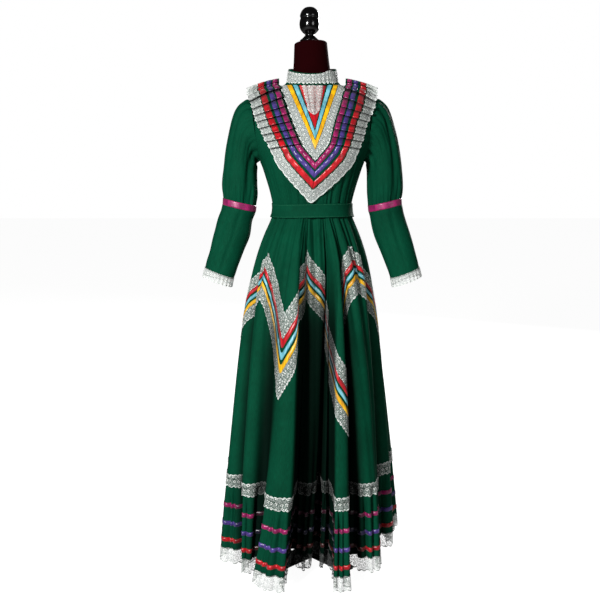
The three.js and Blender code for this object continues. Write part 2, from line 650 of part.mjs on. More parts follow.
function zigzagAt(column) {
  const after = corners.findIndex((corner) => corner.column > column);
  const b = corners[after < 0 ? 0 : after];
  const a = corners[(after < 0 ? corners.length : after || corners.length) - 1];
  const span = (b.column - a.column + COUNT) % COUNT;
  const share = ((column - a.column + COUNT) % COUNT) / span;
  return { top: mix(a.top, b.top, share), spread: mix(a.spread, b.spread, share) };
}
const ZIGZAG_EDGES = [0, 36, 58, 76, 90, 126]; // the cloth bends at the upper edges of its stripes
const SKIRT_TOP_Z = 1044.7;
const skirtHeights = skirtColumns.map((_, column) => {
  const { top, spread } = zigzagAt(column);
  const stripes = ZIGZAG_EDGES.map((edge) => top - edge * spread);
  const lowest = stripes[stripes.length - 1];
  const above = [0, 0.35, 0.7].map((share) => mix(SKIRT_TOP_Z, top, share));
  const below = [0.5, 1].map((share) => mix(lowest, FLOUNCE_Z, share));
  return [...above, ...stripes, ...below];
});
const skirtRows = skirtHeights[0].map((_, row) =>
  skirtColumns.map((column, c) => skirtPoint(column, skirtHeights[c][row])),
);
const skirtMoves = movesOut(skirtRows, true);
const FIRST_STRIPE_ROW = 3;

// A row of points, or of their moves, part of the way from one row of a grid to the next.
const rowBetween = (rows, row, share) => rows[row].map((p, c) => p.clone().lerp(rows[row + 1][c], share));
// A ring of trim made from the cloth's own points; each edge is a row and the share of the way to the next.
function trimRing(name, rows, moves, edges, lift, material) {
  const grid = edges.map(([row, share]) => rowBetween(rows, row, share));
  const out = edges.map(([row, share]) => rowBetween(moves, row, share));
  add(name, wall(grid, out, lift, lift + TRIM, true), material);
}

// A run of columns of a closed grid, drawn in by half a seam at its free edges.
function panel(rows, moves, first, last, seamTop, seamBottom) {
  const pick = (row) => Array.from({ length: last - first + 1 }, (_, i) => row[(first + i) % COUNT].clone());
  const grid = rows.map(pick);
  const out = moves.map(pick);
  const draw = (p, towards) => p.addScaledVector(towards.clone().sub(p).normalize(), SEAM / 2);
  for (const row of grid) {
    const end = row.length - 1;
    draw(row[0], row[1]);
    draw(row[end], row[end - 1]);
  }
  const end = grid.length - 1;
  if (seamTop) grid[0].forEach((p, c) => draw(p, grid[1][c]));
  if (seamBottom) grid[end].forEach((p, c) => draw(p, grid[end - 1][c]));
  return wall(grid, out, -CLOTH, 0, false);
}
// Four gores, whose seams lie in valleys or on the sides of folds.
const GORES = [
  { name: "front_right", from: columnOf("left_side", "L"), to: columnOf("sunk_middle", "R") + 1 },
  { name: "front_left", from: columnOf("sunk_middle", "R") + 1, to: columnOf("right_side", "R") + 1 },
  { name: "back_left", from: columnOf("right_side", "R") + 1, to: columnOf("back_2", "R") + 1 },
  { name: "back_right", from: columnOf("back_2", "R") + 1, to: COUNT },
];
for (const { name, from, to } of GORES)
  add(`skirt_${name}`, panel(skirtRows, skirtMoves, from, to, false, true), finish.cloth);
for (const { name, from, to, material } of STRIPES) {
  const edges = [from, to].map((edge) => {
    const band = Math.min(ZIGZAG_EDGES.findLastIndex((start) => start <= edge), ZIGZAG_EDGES.length - 2);
    const share = (edge - ZIGZAG_EDGES[band]) / (ZIGZAG_EDGES[band + 1] - ZIGZAG_EDGES[band]);
    return [FIRST_STRIPE_ROW + band, share];
  });
  trimRing(name, skirtRows, skirtMoves, edges, RIBBON_LIFT, material);
}

// ---- the flounce, its ribbons, the lace over its seam and the lace at its hem ----
const SEAM_LACE = [FLOUNCE_Z + 14, FLOUNCE_Z, FLOUNCE_Z - 21];
const FLOUNCE_RIBBONS = [
  { name: "flounce_ribbon_magenta", top: 198, bottom: 186, material: finish.magenta },
  { name: "flounce_ribbon_violet", top: 146, bottom: 134, material: finish.violet },
  { name: "flounce_ribbon_scarlet", top: 98, bottom: 86, material: finish.scarlet },
];
const ribbonEdges = FLOUNCE_RIBBONS.flatMap(({ top, bottom }) => [top, bottom]);
const flounceHeights = [FLOUNCE_Z, SEAM_LACE[2], ...ribbonEdges, CLOTH_HEM_Z, HEM_Z];
const flounceRows = flounceHeights.map((z) => skirtColumns.map((column) => skirtPoint(column, z)));
const flounceMoves = movesOut(flounceRows, true);
const clothRows = flounceRows.length - 1;
for (const { name, from, to } of GORES) {
  const rows = flounceRows.slice(0, clothRows);
  add(`flounce_${name}`, panel(rows, flounceMoves, from, to, true, true), finish.cloth);
  const lace = flounceRows.slice(clothRows - 1);
  add(`hem_lace_${name}`, panel(lace, flounceMoves.slice(clothRows - 1), from, to, true, false), finish.lace);
}
for (const { name, top, bottom, material } of FLOUNCE_RIBBONS) {
  const edges = [top, bottom].map((z) => {
    const row = flounceHeights.findLastIndex((height) => height >= z);
    return [row, (flounceHeights[row] - z) / (flounceHeights[row] - flounceHeights[row + 1])];
  });
  trimRing(name, flounceRows, flounceMoves, edges, RIBBON_LIFT, material);
}
const seamRows = SEAM_LACE.map((z) => skirtColumns.map((column) => skirtPoint(column, z)));
add("seam_lace", wall(seamRows, movesOut(seamRows, true), BRIDGE, BRIDGE + TRIM, true), finish.lace);

// ---- belt over the waist seam ----
const BELT = { top: 1065, bottom: 1027 };
const beltSide = (z, grow) => ({ z, half: WAIST_RING.half + grow, front: 91 + grow, back: 88 + grow });
const beltRows = [
  BODICE_SIDES.map((azimuth) => sectionPoint(beltSide(BELT.top, 4.4), azimuth)),
  BODICE_SIDES.map((azimuth) => sectionPoint(beltSide(WAIST_Z, 3.4), azimuth)),
  BODICE_SIDES.map((azimuth) => sectionPoint(beltSide(BELT.bottom, 12), azimuth)),
];
add("belt", wall(beltRows, movesOut(beltRows, true), 0, CLOTH, true), finish.cloth);

export default dress;
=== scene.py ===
"""A long green folk dance dress of the Jalisco kind, worn by a limbless dress form on a low stand.

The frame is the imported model's: metres, +Z up, the front faces -Y. Sizes in this file are millimetres, and
become metres in one place, mesh_of. Azimuths are degrees round the pole: 0 is the front, 90 is +X.
"""

import logging
import math
from dataclasses import dataclass, field
from enum import Enum
from functools import partial
from typing import Callable

import bpy
import numpy as np
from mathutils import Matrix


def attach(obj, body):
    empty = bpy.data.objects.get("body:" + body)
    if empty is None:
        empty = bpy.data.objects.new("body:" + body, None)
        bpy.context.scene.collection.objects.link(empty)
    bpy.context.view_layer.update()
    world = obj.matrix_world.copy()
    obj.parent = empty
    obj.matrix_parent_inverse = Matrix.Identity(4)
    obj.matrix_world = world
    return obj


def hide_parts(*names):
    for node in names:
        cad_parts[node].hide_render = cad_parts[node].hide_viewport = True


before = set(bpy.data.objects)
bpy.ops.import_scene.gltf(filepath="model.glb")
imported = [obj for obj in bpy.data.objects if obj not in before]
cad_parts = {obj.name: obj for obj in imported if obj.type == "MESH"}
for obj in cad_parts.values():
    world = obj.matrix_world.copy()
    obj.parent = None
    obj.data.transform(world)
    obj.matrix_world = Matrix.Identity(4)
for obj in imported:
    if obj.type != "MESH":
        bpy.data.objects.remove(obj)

MM = 0.001
ROOT = "root"
SQUARE = 2.25  # squareness of the body's sections: 2 is an ellipse
NO_RIM = 99.0  # a distance from the lace's edge that is past its close border
WAVE = 0.314  # scale at which a wave texture repeats once in each unit
ASLANT = 0.55  # a strip that fills less of its span than this is laid aslant
NARROWEST = 0.01  # the narrowest cut that a sheet may have, in metres
log = logging.getLogger("jalisco_dress")
Array = np.ndarray
Numbers = np.ndarray | float
Rows = tuple[tuple[float, ...], ...]
Piece = bpy.types.Object
Material = bpy.types.Material
Adder = Callable[..., bpy.types.Node]


# ---------------------------------------------------------------- numbers and curves
def linear(code: str) -> tuple[float, float, float, float]:
    """Turn an sRGB hex colour, six digits, into the linear one that shaders take, with an alpha of 1."""
    parts = [int(code[i : i + 2], 16) / 255 for i in (0, 2, 4)]
    return (*[c / 12.92 if c <= 0.04045 else ((c + 0.055) / 1.055) ** 2.4 for c in parts], 1.0)


def mix(a: Numbers, b: Numbers, share: Numbers) -> Numbers:
    """Go a share of the way from a to b."""
    return a + (b - a) * share


def smoothstep(x: Numbers, low: float, high: float) -> Array:
    """Rise smoothly from 0 at low to 1 at high."""
    t = np.clip((np.asarray(x, float) - low) / (high - low), 0, 1)
    return t * t * (3 - 2 * t)


def monotone(xs: list[float], ys: list[float], at: Numbers) -> Array:
    """Read a smooth curve that never overshoots the points it goes through.

    Args:
        xs: places of the points, rising.
        ys: their values.
        at: where the curve is read.

    Returns:
        The values there, held level past both ends.
    """
    x, y = np.asarray(xs, float), np.asarray(ys, float)
    step = np.diff(x)
    slope = np.diff(y) / step
    same = slope[:-1] * slope[1:] > 0
    total = np.where(same, slope[:-1] + slope[1:], 1.0)
    tangent = np.array([slope[0], *np.where(same, 2 * slope[:-1] * slope[1:] / total, 0.0), slope[-1]])
    at = np.clip(np.asarray(at, float), x[0], x[-1])
    i = np.clip(np.searchsorted(x, at, side="right") - 1, 0, len(x) - 2)
    h = step[i]
    t = (at - x[i]) / h
    return (y[i] * (1 + 2 * t) * (1 - t) ** 2 + tangent[i] * h * t * (1 - t) ** 2
            + y[i + 1] * t * t * (3 - 2 * t) + tangent[i + 1] * h * t * t * (t - 1))


def read_rows(rows: Rows, z: Numbers) -> list[Array]:
    """Read a table of sizes by height: each row gives a height and the sizes there."""
    heights, *sizes = np.array(rows).T
    return [monotone(heights, size, z) for size in sizes]


def catmull(rows: Array, spans: int) -> Array:
    """Run a smooth curve through rows of points.

    Args:
        rows: the rows, first axis along the curve.
        spans: steps from one row to the next.

    Returns:
        The denser rows, which keep the given ones.
    """
    ends = np.concatenate([[2 * rows[0] - rows[1]], rows, [2 * rows[-1] - rows[-2]]])
    out = []
    for i in range(len(rows) - 1):
        a, b, c, d = ends[i : i + 4]
        for t in np.arange(spans) / spans:
            out.append(0.5 * (2 * b + (c - a) * t + (2 * a - 5 * b + 4 * c - d) * t * t
                              + (3 * b - a - 3 * c + d) * t**3))
    return np.array([*out, rows[-1]])


def steps(points: Array, axis: int = 0) -> Array:
    """Give the distance from each point to the next along an axis."""
    return np.linalg.norm(np.diff(points, axis=axis), axis=-1)


def from_zero(sizes: Array) -> Array:
    """Add up sizes, starting from 0."""
    return np.concatenate([[0.0], np.cumsum(sizes)])


def lengths_along(points: Array) -> Array:
    """Give the distance along a polyline at each of its points, from 0."""
    return from_zero(steps(points))


def lobes(along: Array, pitch: float) -> Array:
    """Give the height of a scalloped edge: 0 in its notches, 1 at its lobes, a whole number of lobes long."""
    count = max(1, round(float(along[-1]) / pitch))
    return np.abs(np.sin(np.pi * along / along[-1] * count)) ** 0.6


def sine(degrees: Numbers) -> Numbers:
    """Give the sine of an angle in degrees."""
    return np.sin(np.radians(degrees))


def cosine(degrees: Numbers) -> Numbers:
    """Give the cosine of an angle in degrees."""
    return np.cos(np.radians(degrees))


def xyz(x: Numbers, y: Numbers, z: Numbers) -> Array:
    """Join coordinates into points over the grid that they span."""
    return np.stack(np.broadcast_arrays(x, y, z), axis=-1)


def unit(vectors: Array) -> Array:
    """Give vectors a length of 1."""
    return vectors / np.maximum(np.linalg.norm(vectors, axis=-1, keepdims=True), 1e-9)


def section(azimuth: Array, half: Numbers, front: Numbers, back: Numbers,
            square: float = SQUARE) -> tuple[Array, Array]:
    """Give x and y of a rounded section: half wide to each side, front and back deep."""
    s, c = sine(azimuth), cosine(azimuth)
    depth = np.where(c > 0, front, back)
    return half * np.sign(s) * np.abs(s) ** (2 / square), -depth * np.sign(c) * np.abs(c) ** (2 / square)


def outward(grid: Array, closed: bool) -> Array:
    """Give unit normals of a grid whose rows run down and whose columns run counter-clockwise from above."""
    turned = (np.roll(grid, -1, axis=1) - np.roll(grid, 1, axis=1)) / 2
    return unit(np.cross(np.gradient(grid, axis=0), turned if closed else np.gradient(grid, axis=1)))


def corners(values: Array) -> Array:
    """Give the values at the four corners of each cell of a grid, in a face's order."""
    return np.stack([values[:-1, :-1], values[1:, :-1], values[1:, 1:], values[:-1, 1:]], axis=2)


def seeded_noise(x: Array, y: Array, seed: int, octaves: int = 5) -> Array:
    """Give a smooth wavy field of about -1 to 1 from a few crossed waves, the same on each run."""
    rng = np.random.default_rng(seed)
    total = np.zeros(np.broadcast(x, y).shape)
    for _ in range(octaves):
        turn, phase, rate = rng.uniform(0, math.tau), rng.uniform(0, math.tau), rng.uniform(0.6, 1.7)
        total += np.sin(rate * (x * math.cos(turn) + y * math.sin(turn)) + phase)
    return total / octaves**0.5 / 1.2


@dataclass(frozen=True)
class Gathers:
    """Grooves that run away from a seam where more cloth is drawn into less.

    Args:
        pitch: mean distance between grooves along the seam.
        depth: depth of a groove.
        width: half-width of a groove.
        start: share of the depth at the seam itself.
        rise: distance over which a groove reaches its full depth.
        reach: distance at which it has faded to its rest.
        rest: share of the depth that is left past its reach.
        seed: fixed seed of the uneven places, widths and depths.
    """

    pitch: float
    depth: float
    width: float
    start: float
    rise: float
    reach: float
    rest: float
    seed: int

    def offset(self, along: Array, fall: Array, length: float, closed: bool = True) -> Array:
        """Give the inward move of the cloth.

        Args:
            along: place along the seam.
            fall: distance from the seam.
            length: the seam's whole length.
            closed: whether the seam is a ring.

        Returns:
            Moves, 0 or less, of the shape that along and fall share.
        """
        rng = np.random.default_rng(self.seed)
        count = max(1, round(length / self.pitch))
        out = np.zeros(np.broadcast(along, fall).shape)
        for i in range(count):
            place = (i + 0.5 + rng.uniform(-0.33, 0.33)) * length / count
            width = self.width * rng.uniform(0.7, 1.35)
            depth = self.depth * rng.uniform(0.5, 1.4)
            reach = self.reach * rng.uniform(0.6, 1.4)
            lean = rng.uniform(-0.05, 0.05)
            away = along - place - lean * fall * self.pitch / 40
            if closed:
                away = (away + length / 2) % length - length / 2
            window = mix(self.start, 1.0, smoothstep(fall, 0, self.rise))
            window = window * mix(1.0, self.rest, smoothstep(fall, 0.3 * reach, reach))
            out -= depth * window * np.exp(-((away / width) ** 2))
        return out


# ---------------------------------------------------------------- materials
def fill(tree: bpy.types.NodeTree, made: bpy.types.Node, inputs: dict) -> None:
    """Set a node's inputs.

    Args:
        tree: the node's tree.
        made: the node.
        inputs: by number, or by name with _ for each space: a value, a socket, or a node whose main output
            is meant.
    """
    for key, value in inputs.items():
        socket = made.inputs[key.replace("_", " ") if isinstance(key, str) else key]
        if isinstance(value, bpy.types.Node):
            value = value.outputs.get("Fac") or next(output for output in value.outputs if output.enabled)
        if isinstance(value, bpy.types.NodeSocket):
            tree.links.new(value, socket)
        else:
            socket.default_value = value


def node(tree: bpy.types.NodeTree, kind: str, *numbered: object, **named: object) -> bpy.types.Node:
    """Add a node with its settings and links.

    Args:
        tree: the tree that gets the node.
        kind: the node's type name, in a shader without the words ShaderNode.
        numbered: its first inputs, in order.
        named: its settings, and its other inputs, whose names start with a capital.

    Returns:
        The new node.
    """
    made = tree.nodes.new(kind if tree.type == "GEOMETRY" else "ShaderNode" + kind)
    for key, value in named.items():
        if key[0].islower():
            setattr(made, key, value)
    fill(tree, made, {**dict(enumerate(numbered)), **{k: v for k, v in named.items() if k[0].isupper()}})
    return made


def new_material(title: str) -> Material:
    """Make a material with a Principled shader."""
    made = bpy.data.materials.new(title)
    made.use_nodes = True
    return made


def shaded(made: Material, **inputs: object) -> Material:
    """Set the inputs of a material's shader and give the material back."""
    fill(made.node_tree, made.node_tree.nodes["Principled BSDF"], inputs)
    return made


@dataclass(frozen=True)
class Finish:
    """What every finish has.

    Args:
        title: the real material's name.
        slot: the record's material slot; not used.
        colour: sRGB hex colour of the lit surface.
    """

    title: str
    slot: str
    colour: str

    def start(self) -> tuple[Material, Adder, bpy.types.bpy_prop_collection]:
        """Make the material, what adds its nodes, and the coordinates that its patterns follow."""
        made = new_material(self.title)
        add = partial(node, made.node_tree)
        return made, add, add("TexCoord").outputs

    def in_pleats(self, add: Adder, colour: bpy.types.Node) -> bpy.types.Node:
        """Darken a colour towards near black by the painted shade attribute: painted shade in pleats and
        valleys.
        """
        # painted shade: the colour goes towards near black where the cloth lies deep in a pleat or valley
        share = add("Math", add("Attribute", attribute_name="painted_shade_share"), 0.9, operation="MULTIPLY")
        return add("Mix", Factor=share, A=colour, B=linear("000403"), data_type="RGBA")


@dataclass(frozen=True)
class CottonPoplin(Finish):
    """Piece-dyed cotton poplin: matt, dense plain weave, a little lighter where it is worn and pressed.

    Args:
        shade: sRGB hex colour of the deeper patches.
        thread: thread spacing; real poplin has about 0.3, drawn coarser so that it shows.
    """

    shade: str = "023322"
    thread: float = 1.1

    def material(self) -> Material:
        """Build the cloth: two crossed thread waves for bump, slow patches and slubs for colour, painted
        shade in the pleats.
        """
        made, add, place = self.start()
        patches = add("TexNoise", Vector=place["Object"], Scale=7.0, Detail=5.0, Roughness=0.6)
        slub = add("Mapping", Vector=place["UV"], Scale=(900.0, 60.0, 1.0))
        slubs = add("TexNoise", Vector=slub, Scale=1.0, Detail=2.0)
        blend = add("Math", patches, slubs, operation="ADD")
        spread = add("MapRange", Value=blend, From_Min=0.7, From_Max=1.3)
        colour = add("Mix", Factor=spread, A=linear(self.shade), B=linear(self.colour), data_type="RGBA")
        scale = WAVE / (self.thread * MM)
        warp, weft = (add("TexWave", Vector=place["UV"], Scale=scale, bands_direction=way) for way in "XY")
        weave = add("Math", warp, weft, operation="MULTIPLY")
        fine = add("Bump", Height=weave, Strength=0.25, Distance=0.0002)
        crumple = add("TexNoise", Vector=place["Object"], Scale=38.0, Detail=3.0)
        soft = add("Bump", Height=crumple, Strength=0.3, Distance=0.0016, Normal=fine)
        return shaded(made, Base_Color=self.in_pleats(add, colour), Normal=soft, Roughness=0.8,
                      Specular_IOR_Level=0.05)


@dataclass(frozen=True)
class SatinRibbon(Finish):
    """Woven polyester satin ribbon: bright, with a soft lustre across its fine ribs and small ripples.

    Args:
        shade: sRGB hex colour painted into its ripples' dips as shade.
    """

    shade: str = "700716"

    def material(self) -> Material:
        """Build the ribbon: weft ribs 0.5 apart, drawn at 1.2, and slow ripples along it, with painted shade
        in their dips.
        """
        made, add, place = self.start()
        stretch = add("Mapping", Vector=place["UV"], Scale=(60.0, 25.0, 1.0))
        ripple = add("TexNoise", Vector=stretch, Scale=1.0, Detail=2.0)
        spread = add("MapRange", Value=ripple, From_Min=0.3, From_Max=0.6)
        # painted shade: the same noise that bumps the ripples darkens their dips
        colour = add("Mix", Factor=spread, A=linear(self.shade), B=linear(self.colour), data_type="RGBA")
        ribs = add("TexWave", Vector=place["UV"], Scale=262.0, bands_direction="X")
        fine = add("Bump", Height=ribs, Strength=0.15, Distance=0.0001)
        wavy = add("Bump", Height=ripple, Strength=0.5, Distance=0.002, Normal=fine)
        return shaded(made, Base_Color=self.in_pleats(add, colour), Normal=wavy, Roughness=0.34,
                      Specular_IOR_Level=0.5, Anisotropic=0.4, Sheen_Weight=0.1)


@dataclass(frozen=True)
class RaschelLace(Finish):
    """Warp-knitted nylon lace: open net with five-petalled flowers and a close border along its scallops.

    Args:
        ground: sRGB hex colour of the thin net between the flowers.
        mesh: size of the net's holes; real net has about 1.5, drawn a little coarser so that it shows.
        flower: distance between flowers.
        veil: how much of the light the finest threads stop, which the drawn net leaves out.
    """

    ground: str = "C9CFCB"
    mesh: float = 2.2
    flower: float = 13.0
    veil: float = 0.34

    def material(self) -> Material:
        """Build the lace: one alpha from the net's threads, the flowers and the border, and painted shade in
        the pleats.
        """
        made, add, place = self.start()
        net_at, bloom_at = (add("VectorMath", place["UV"], (1 / (size * MM),) * 3, operation="MULTIPLY")
                            for size in (self.mesh, self.flower))
        net = add("TexVoronoi", Vector=net_at, Scale=1.0, Randomness=0.35, voronoi_dimensions="2D",
                  feature="DISTANCE_TO_EDGE")
        threads = add("MapRange", Value=net, From_Min=0.08, From_Max=0.22, To_Min=1.0, To_Max=0.0)
        bloom = add("TexVoronoi", Vector=bloom_at, Scale=1.0, Randomness=0.3, voronoi_dimensions="2D",
                    feature="F1").outputs
        arm = add("SeparateXYZ", add("VectorMath", bloom_at, bloom["Position"], operation="SUBTRACT")).outputs
        turn = add("Math", arm["Y"], arm["X"], operation="ARCTAN2")
        wave = add("Math", add("Math", turn, 5.0, operation="MULTIPLY"), operation="SINE")
        reach = add("Math", wave, 0.1, 0.28, operation="MULTIPLY_ADD")
        inside = add("Math", reach, bloom["Distance"], operation="SUBTRACT")
        petals = add("MapRange", Value=inside, From_Min=0.0, From_Max=0.05)
        near = add("MapRange", Value=inside, From_Min=-0.17, From_Max=-0.12)
        free = add("Math", threads, near, operation="SUBTRACT")
        eye = add("MapRange", Value=bloom["Distance"], From_Min=0.1, From_Max=0.14)
        flowers = add("Math", petals, eye, operation="MULTIPLY")
        rim = add("Attribute", attribute_name="rim")
        border = add("MapRange", Value=rim, From_Min=2.2, From_Max=3.4, To_Min=1.0, To_Max=0.0)
        whole = add("Math", add("Math", free, flowers, operation="MAXIMUM"), border, operation="MAXIMUM")
        alpha = add("MapRange", Value=whole, To_Min=self.veil, To_Max=1.0)
        relief = add("Bump", Height=whole, Strength=0.6, Distance=0.0005)
        tint = add("Mix", Factor=flowers, A=linear(self.ground), B=linear(self.colour), data_type="RGBA")
        return shaded(made, Base_Color=self.in_pleats(add, tint), Alpha=alpha, Normal=relief, Roughness=0.65,
                      Specular_IOR_Level=0.3, Sheen_Weight=0.15)


@dataclass(frozen=True)
class Velvet(Finish):
    """Cotton velvet over the form's padding: near black face on, maroon where the pile is seen edge on."""

    def material(self) -> Material:
        """Build the pile: fine noise bump, rough, with a maroon sheen."""
        made, add, place = self.start()
        pile = add("TexNoise", Vector=place["Object"], Scale=900.0, Detail=2.0)
        brushed = add("TexNoise", Vector=place["Object"], Scale=14.0, Detail=3.0)
        colour = add("Mix", Factor=brushed, A=linear("120001"), B=linear(self.colour), data_type="RGBA")
        bump = add("Bump", Height=pile, Strength=0.4, Distance=0.0006)
        return shaded(made, Base_Color=colour, Normal=bump, Roughness=0.95, Specular_IOR_Level=0.03,
                      Sheen_Weight=0.35, Sheen_Roughness=0.35, Sheen_Tint=linear("3A0004"))


@dataclass(frozen=True)
class Lacquer(Finish):
    """Black lacquer on turned beech: a hard wet gloss over faint lathe rings."""

    def material(self) -> Material:
        """Build the gloss, with turning rings 1.5 apart under a clear coat."""
        made, add, place = self.start()
        rings = add("TexWave", Vector=place["Object"], Scale=210.0, Distortion=0.4, bands_direction="Z")
        dust = add("TexNoise", Vector=place["Object"], Scale=60.0, Detail=4.0)
        rough = add("MapRange", Value=dust, To_Min=0.08, To_Max=0.24)
        bump = add("Bump", Height=rings, Strength=0.06, Distance=0.0003)
        return shaded(made, Base_Color=linear(self.colour), Roughness=rough, Normal=bump, Coat_Weight=0.4,
                      Coat_Roughness=0.06)


@dataclass(frozen=True)
class PaintedSteel(Finish):
    """Black powder-coated steel: a low satin with the fine orange peel of the coat."""

    def material(self) -> Material:
        """Build the coat: peel about 1 across, slightly uneven gloss, greyer where it is scuffed."""
        made, add, place = self.start()
        peel = add("TexNoise", Vector=place["Object"], Scale=700.0, Detail=2.0)
        scuff = add("TexNoise", Vector=place["Object"], Scale=25.0, Detail=6.0)
        worn = add("MapRange", Value=scuff, From_Min=0.5, From_Max=0.75)
        colour = add("Mix", Factor=worn, A=linear(self.colour), B=linear("2C2C2C"), data_type="RGBA")
        rough = add("MapRange", Value=scuff, To_Min=0.38, To_Max=0.6)
        bump = add("Bump", Height=peel, Strength=0.2, Distance=0.0003)
        return shaded(made, Base_Color=colour, Roughness=rough, Normal=bump)


@dataclass(frozen=True)
class SpunThread(Finish):
    """Spun polyester sewing thread: matt, a shade off the cloth it holds."""

    def material(self) -> Material:
        """Build the thread, with its twist as a fine bump."""
        made, add, place = self.start()
        twist = add("TexNoise", Vector=place["Object"], Scale=1500.0)
        bump = add("Bump", Height=twist, Strength=0.3, Distance=0.0002)
        return shaded(made, Base_Color=linear(self.colour), Normal=bump, Roughness=0.7)


class Stuff(Enum):
    """The finishes of the dress and its form."""

    POPLIN = CottonPoplin("Cotton poplin, bottle green", "green_cotton", "034630")
    LACE = RaschelLace("Raschel lace, white, gathered", "white_lace", "E2E5E0", "C6CCC8", 2.4, 14.0, 0.34)
    NET = RaschelLace("Raschel lace, white, laid flat", "white_lace", "E2E6E1", "B4BCB7", 2.4, 16.0, 0.1)
    # each satin's second colour is painted shade in its ripples' dips
    SCARLET = SatinRibbon("Satin ribbon, scarlet", "scarlet_satin", "C40D1C", "7D0814")
    SKY = SatinRibbon("Satin ribbon, sky blue", "sky_satin", "79BECB", "3F8696")
    GOLD = SatinRibbon("Satin ribbon, gold", "gold_satin", "EDB80C", "B87A0C")
    MAGENTA = SatinRibbon("Satin ribbon, magenta", "magenta_satin", "A0155F", "5C0A3B")
    VIOLET = SatinRibbon("Satin ribbon, violet", "violet_satin", "4F3A8C", "261A52")
    VELVET = Velvet("Cotton velvet, maroon", "form_cover", "200103")
    LACQUER = Lacquer("Black lacquer on beech", "form_knob", "040404")
    STEEL = PaintedSteel("Powder-coated steel, black", "form_steel", "101010")
    THREAD = SpunThread("Spun polyester thread, green", "green_cotton", "1E6A4A")


MADE: dict[Stuff, Material] = {}


def stuff(kind: Stuff) -> Material:
    """Give the material of a finish, made once."""
    if kind not in MADE:
        MADE[kind] = kind.value.material()
    return MADE[kind]


# ---------------------------------------------------------------- meshes from grids
@dataclass
class Patch:
    """One piece of surface: rows run down and columns counter-clockwise, so its face looks out.

    Args:
        grid: rows by columns of points in mm.
        closed: whether the last column joins the first.
        rim: distance of each row from a lace's scalloped edge, for its close border.
        along: place of each column along the piece for its pattern, or none to measure it.
        depth: painted shade of each point, 0 to 1, the more the deeper it lies in a pleat.
    """

    grid: Array
    closed: bool = False
    rim: Numbers = NO_RIM
    along: Array | None = None
    # painted shade share of each point
    depth: Numbers = 0.0

    def looped(self, values: Array) -> Array:
        """Repeat a closed patch's first column after its last."""
        return np.concatenate([values, values[:, :1]], axis=1) if self.closed else values

    def widths(self) -> Array:
        """Give the length of each row."""
        return steps(self.looped(self.grid), 1).sum(axis=1)

    def heights(self) -> Array:
        """Give the length of each column."""
        return steps(self.grid).sum(axis=0)

    def area(self) -> float:
        """Give the area, in square mm."""
        grid = self.looped(self.grid)
        crossed = np.cross(grid[1:, 1:] - grid[:-1, :-1], grid[:-1, 1:] - grid[1:, :-1])
        return float(np.linalg.norm(crossed, axis=-1).sum() / 2)

    def uvs(self) -> Array:
        """Give the UV place of each face's corners in metres: u along the piece, v up it."""
        along = from_zero(steps(self.looped(self.grid), 1).mean(axis=0)) if self.along is None else self.along
        up = from_zero(steps(self.grid).mean(axis=1))[::-1, None]
        return corners(np.stack(np.broadcast_arrays(along[None, :], up), axis=-1) * MM).reshape(-1, 2)

    def over_points(self, values: Array) -> Array:
        """Give one value for each point."""
        return np.broadcast_to(values, self.grid.shape[:2]).reshape(-1)


def add_object(name: str, data: bpy.types.ID) -> Piece:
    """Add an object to the scene."""
    made = bpy.data.objects.new(name, data)
    bpy.context.scene.collection.objects.link(made)
    return made


def mesh_of(name: str, patches: list[Patch]) -> Piece:
    """Build an object at the origin from patches, with a UV map in metres.

    Args:
        name: the object's name.
        patches: its surfaces, in mm.

    Returns:
        The object, smooth shaded.
    """
    faces, start = [], 0
    for patch in patches:
        ids = start + np.arange(patch.grid[..., 0].size).reshape(patch.grid.shape[:2])
        faces.append(corners(patch.looped(ids)).reshape(-1, 4))
        start += ids.size
    mesh = bpy.data.meshes.new(name)
    points = np.concatenate([patch.grid.reshape(-1, 3) for patch in patches]) * MM
    mesh.from_pydata(points.tolist(), [], np.concatenate(faces).tolist())
    uvs = np.concatenate([patch.uvs() for patch in patches])
    mesh.uv_layers.new(name="UVMap").data.foreach_set("uv", uvs.astype(np.float32).ravel())
    # rim drives the lace's close border; the painted shade share darkens the colour in pleats and valleys
    for label, values in (("rim", [p.over_points(np.reshape(p.rim, (-1, 1))) for p in patches]),
                          ("painted_shade_share", [p.over_points(p.depth) for p in patches])):
        layer = mesh.attributes.new(label, "FLOAT", "POINT")
        layer.data.foreach_set("value", np.concatenate(values).astype(np.float32))
    mesh.polygons.foreach_set("use_smooth", [True] * len(mesh.polygons))
    mesh.update()
    return add_object(name, mesh)


def coat(piece: Piece, kind: Stuff) -> None:
    """Give a piece its finish and no other."""
    piece.data.materials.clear()
    piece.data.materials.append(stuff(kind))


def dress(piece: Piece, kind: Stuff, nodes: list[str]) -> None:
    """Give a piece its finish and its place in the frame, and hide the CAD nodes it stands for."""
    coat(piece, kind)
    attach(piece, ROOT)
    if nodes:
        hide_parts(*nodes)
    log.info("%s: %d faces of %s", piece.name, len(piece.data.polygons), kind.value.title)


def sew(name: str, patches: list[Patch], kind: Stuff, nodes: list[str],
        wall: float = 0.0) -> None:
    """Make a piece of cloth from its patches and log the size of its cut.

    Args:
        name: the piece's name.
        patches: its surfaces; several are cut and sewn end to end.
        kind: its finish.
        nodes: the CAD nodes that it stands for.
        wall: thickness given inwards, 0 for a single surface.
    """
    piece = mesh_of(name, patches)
    if wall:
        shell = piece.modifiers.new("cloth", "SOLIDIFY")
        shell.thickness, shell.offset, shell.use_rim = wall * MM, -1.0, True
    dress(piece, kind, nodes)
    width = sum(float(patch.widths().max()) for patch in patches) * MM
    length = max(float(patch.heights().max()) for patch in patches) * MM
    area = sum(patch.area() for patch in patches) * MM * MM
    if area < ASLANT * width * length:
        length = max(area / width, NARROWEST)
    area = min(area, width * length)
    log.info("%s: cut %.3f by %.3f m, %.4f square m", name, width, length, area)


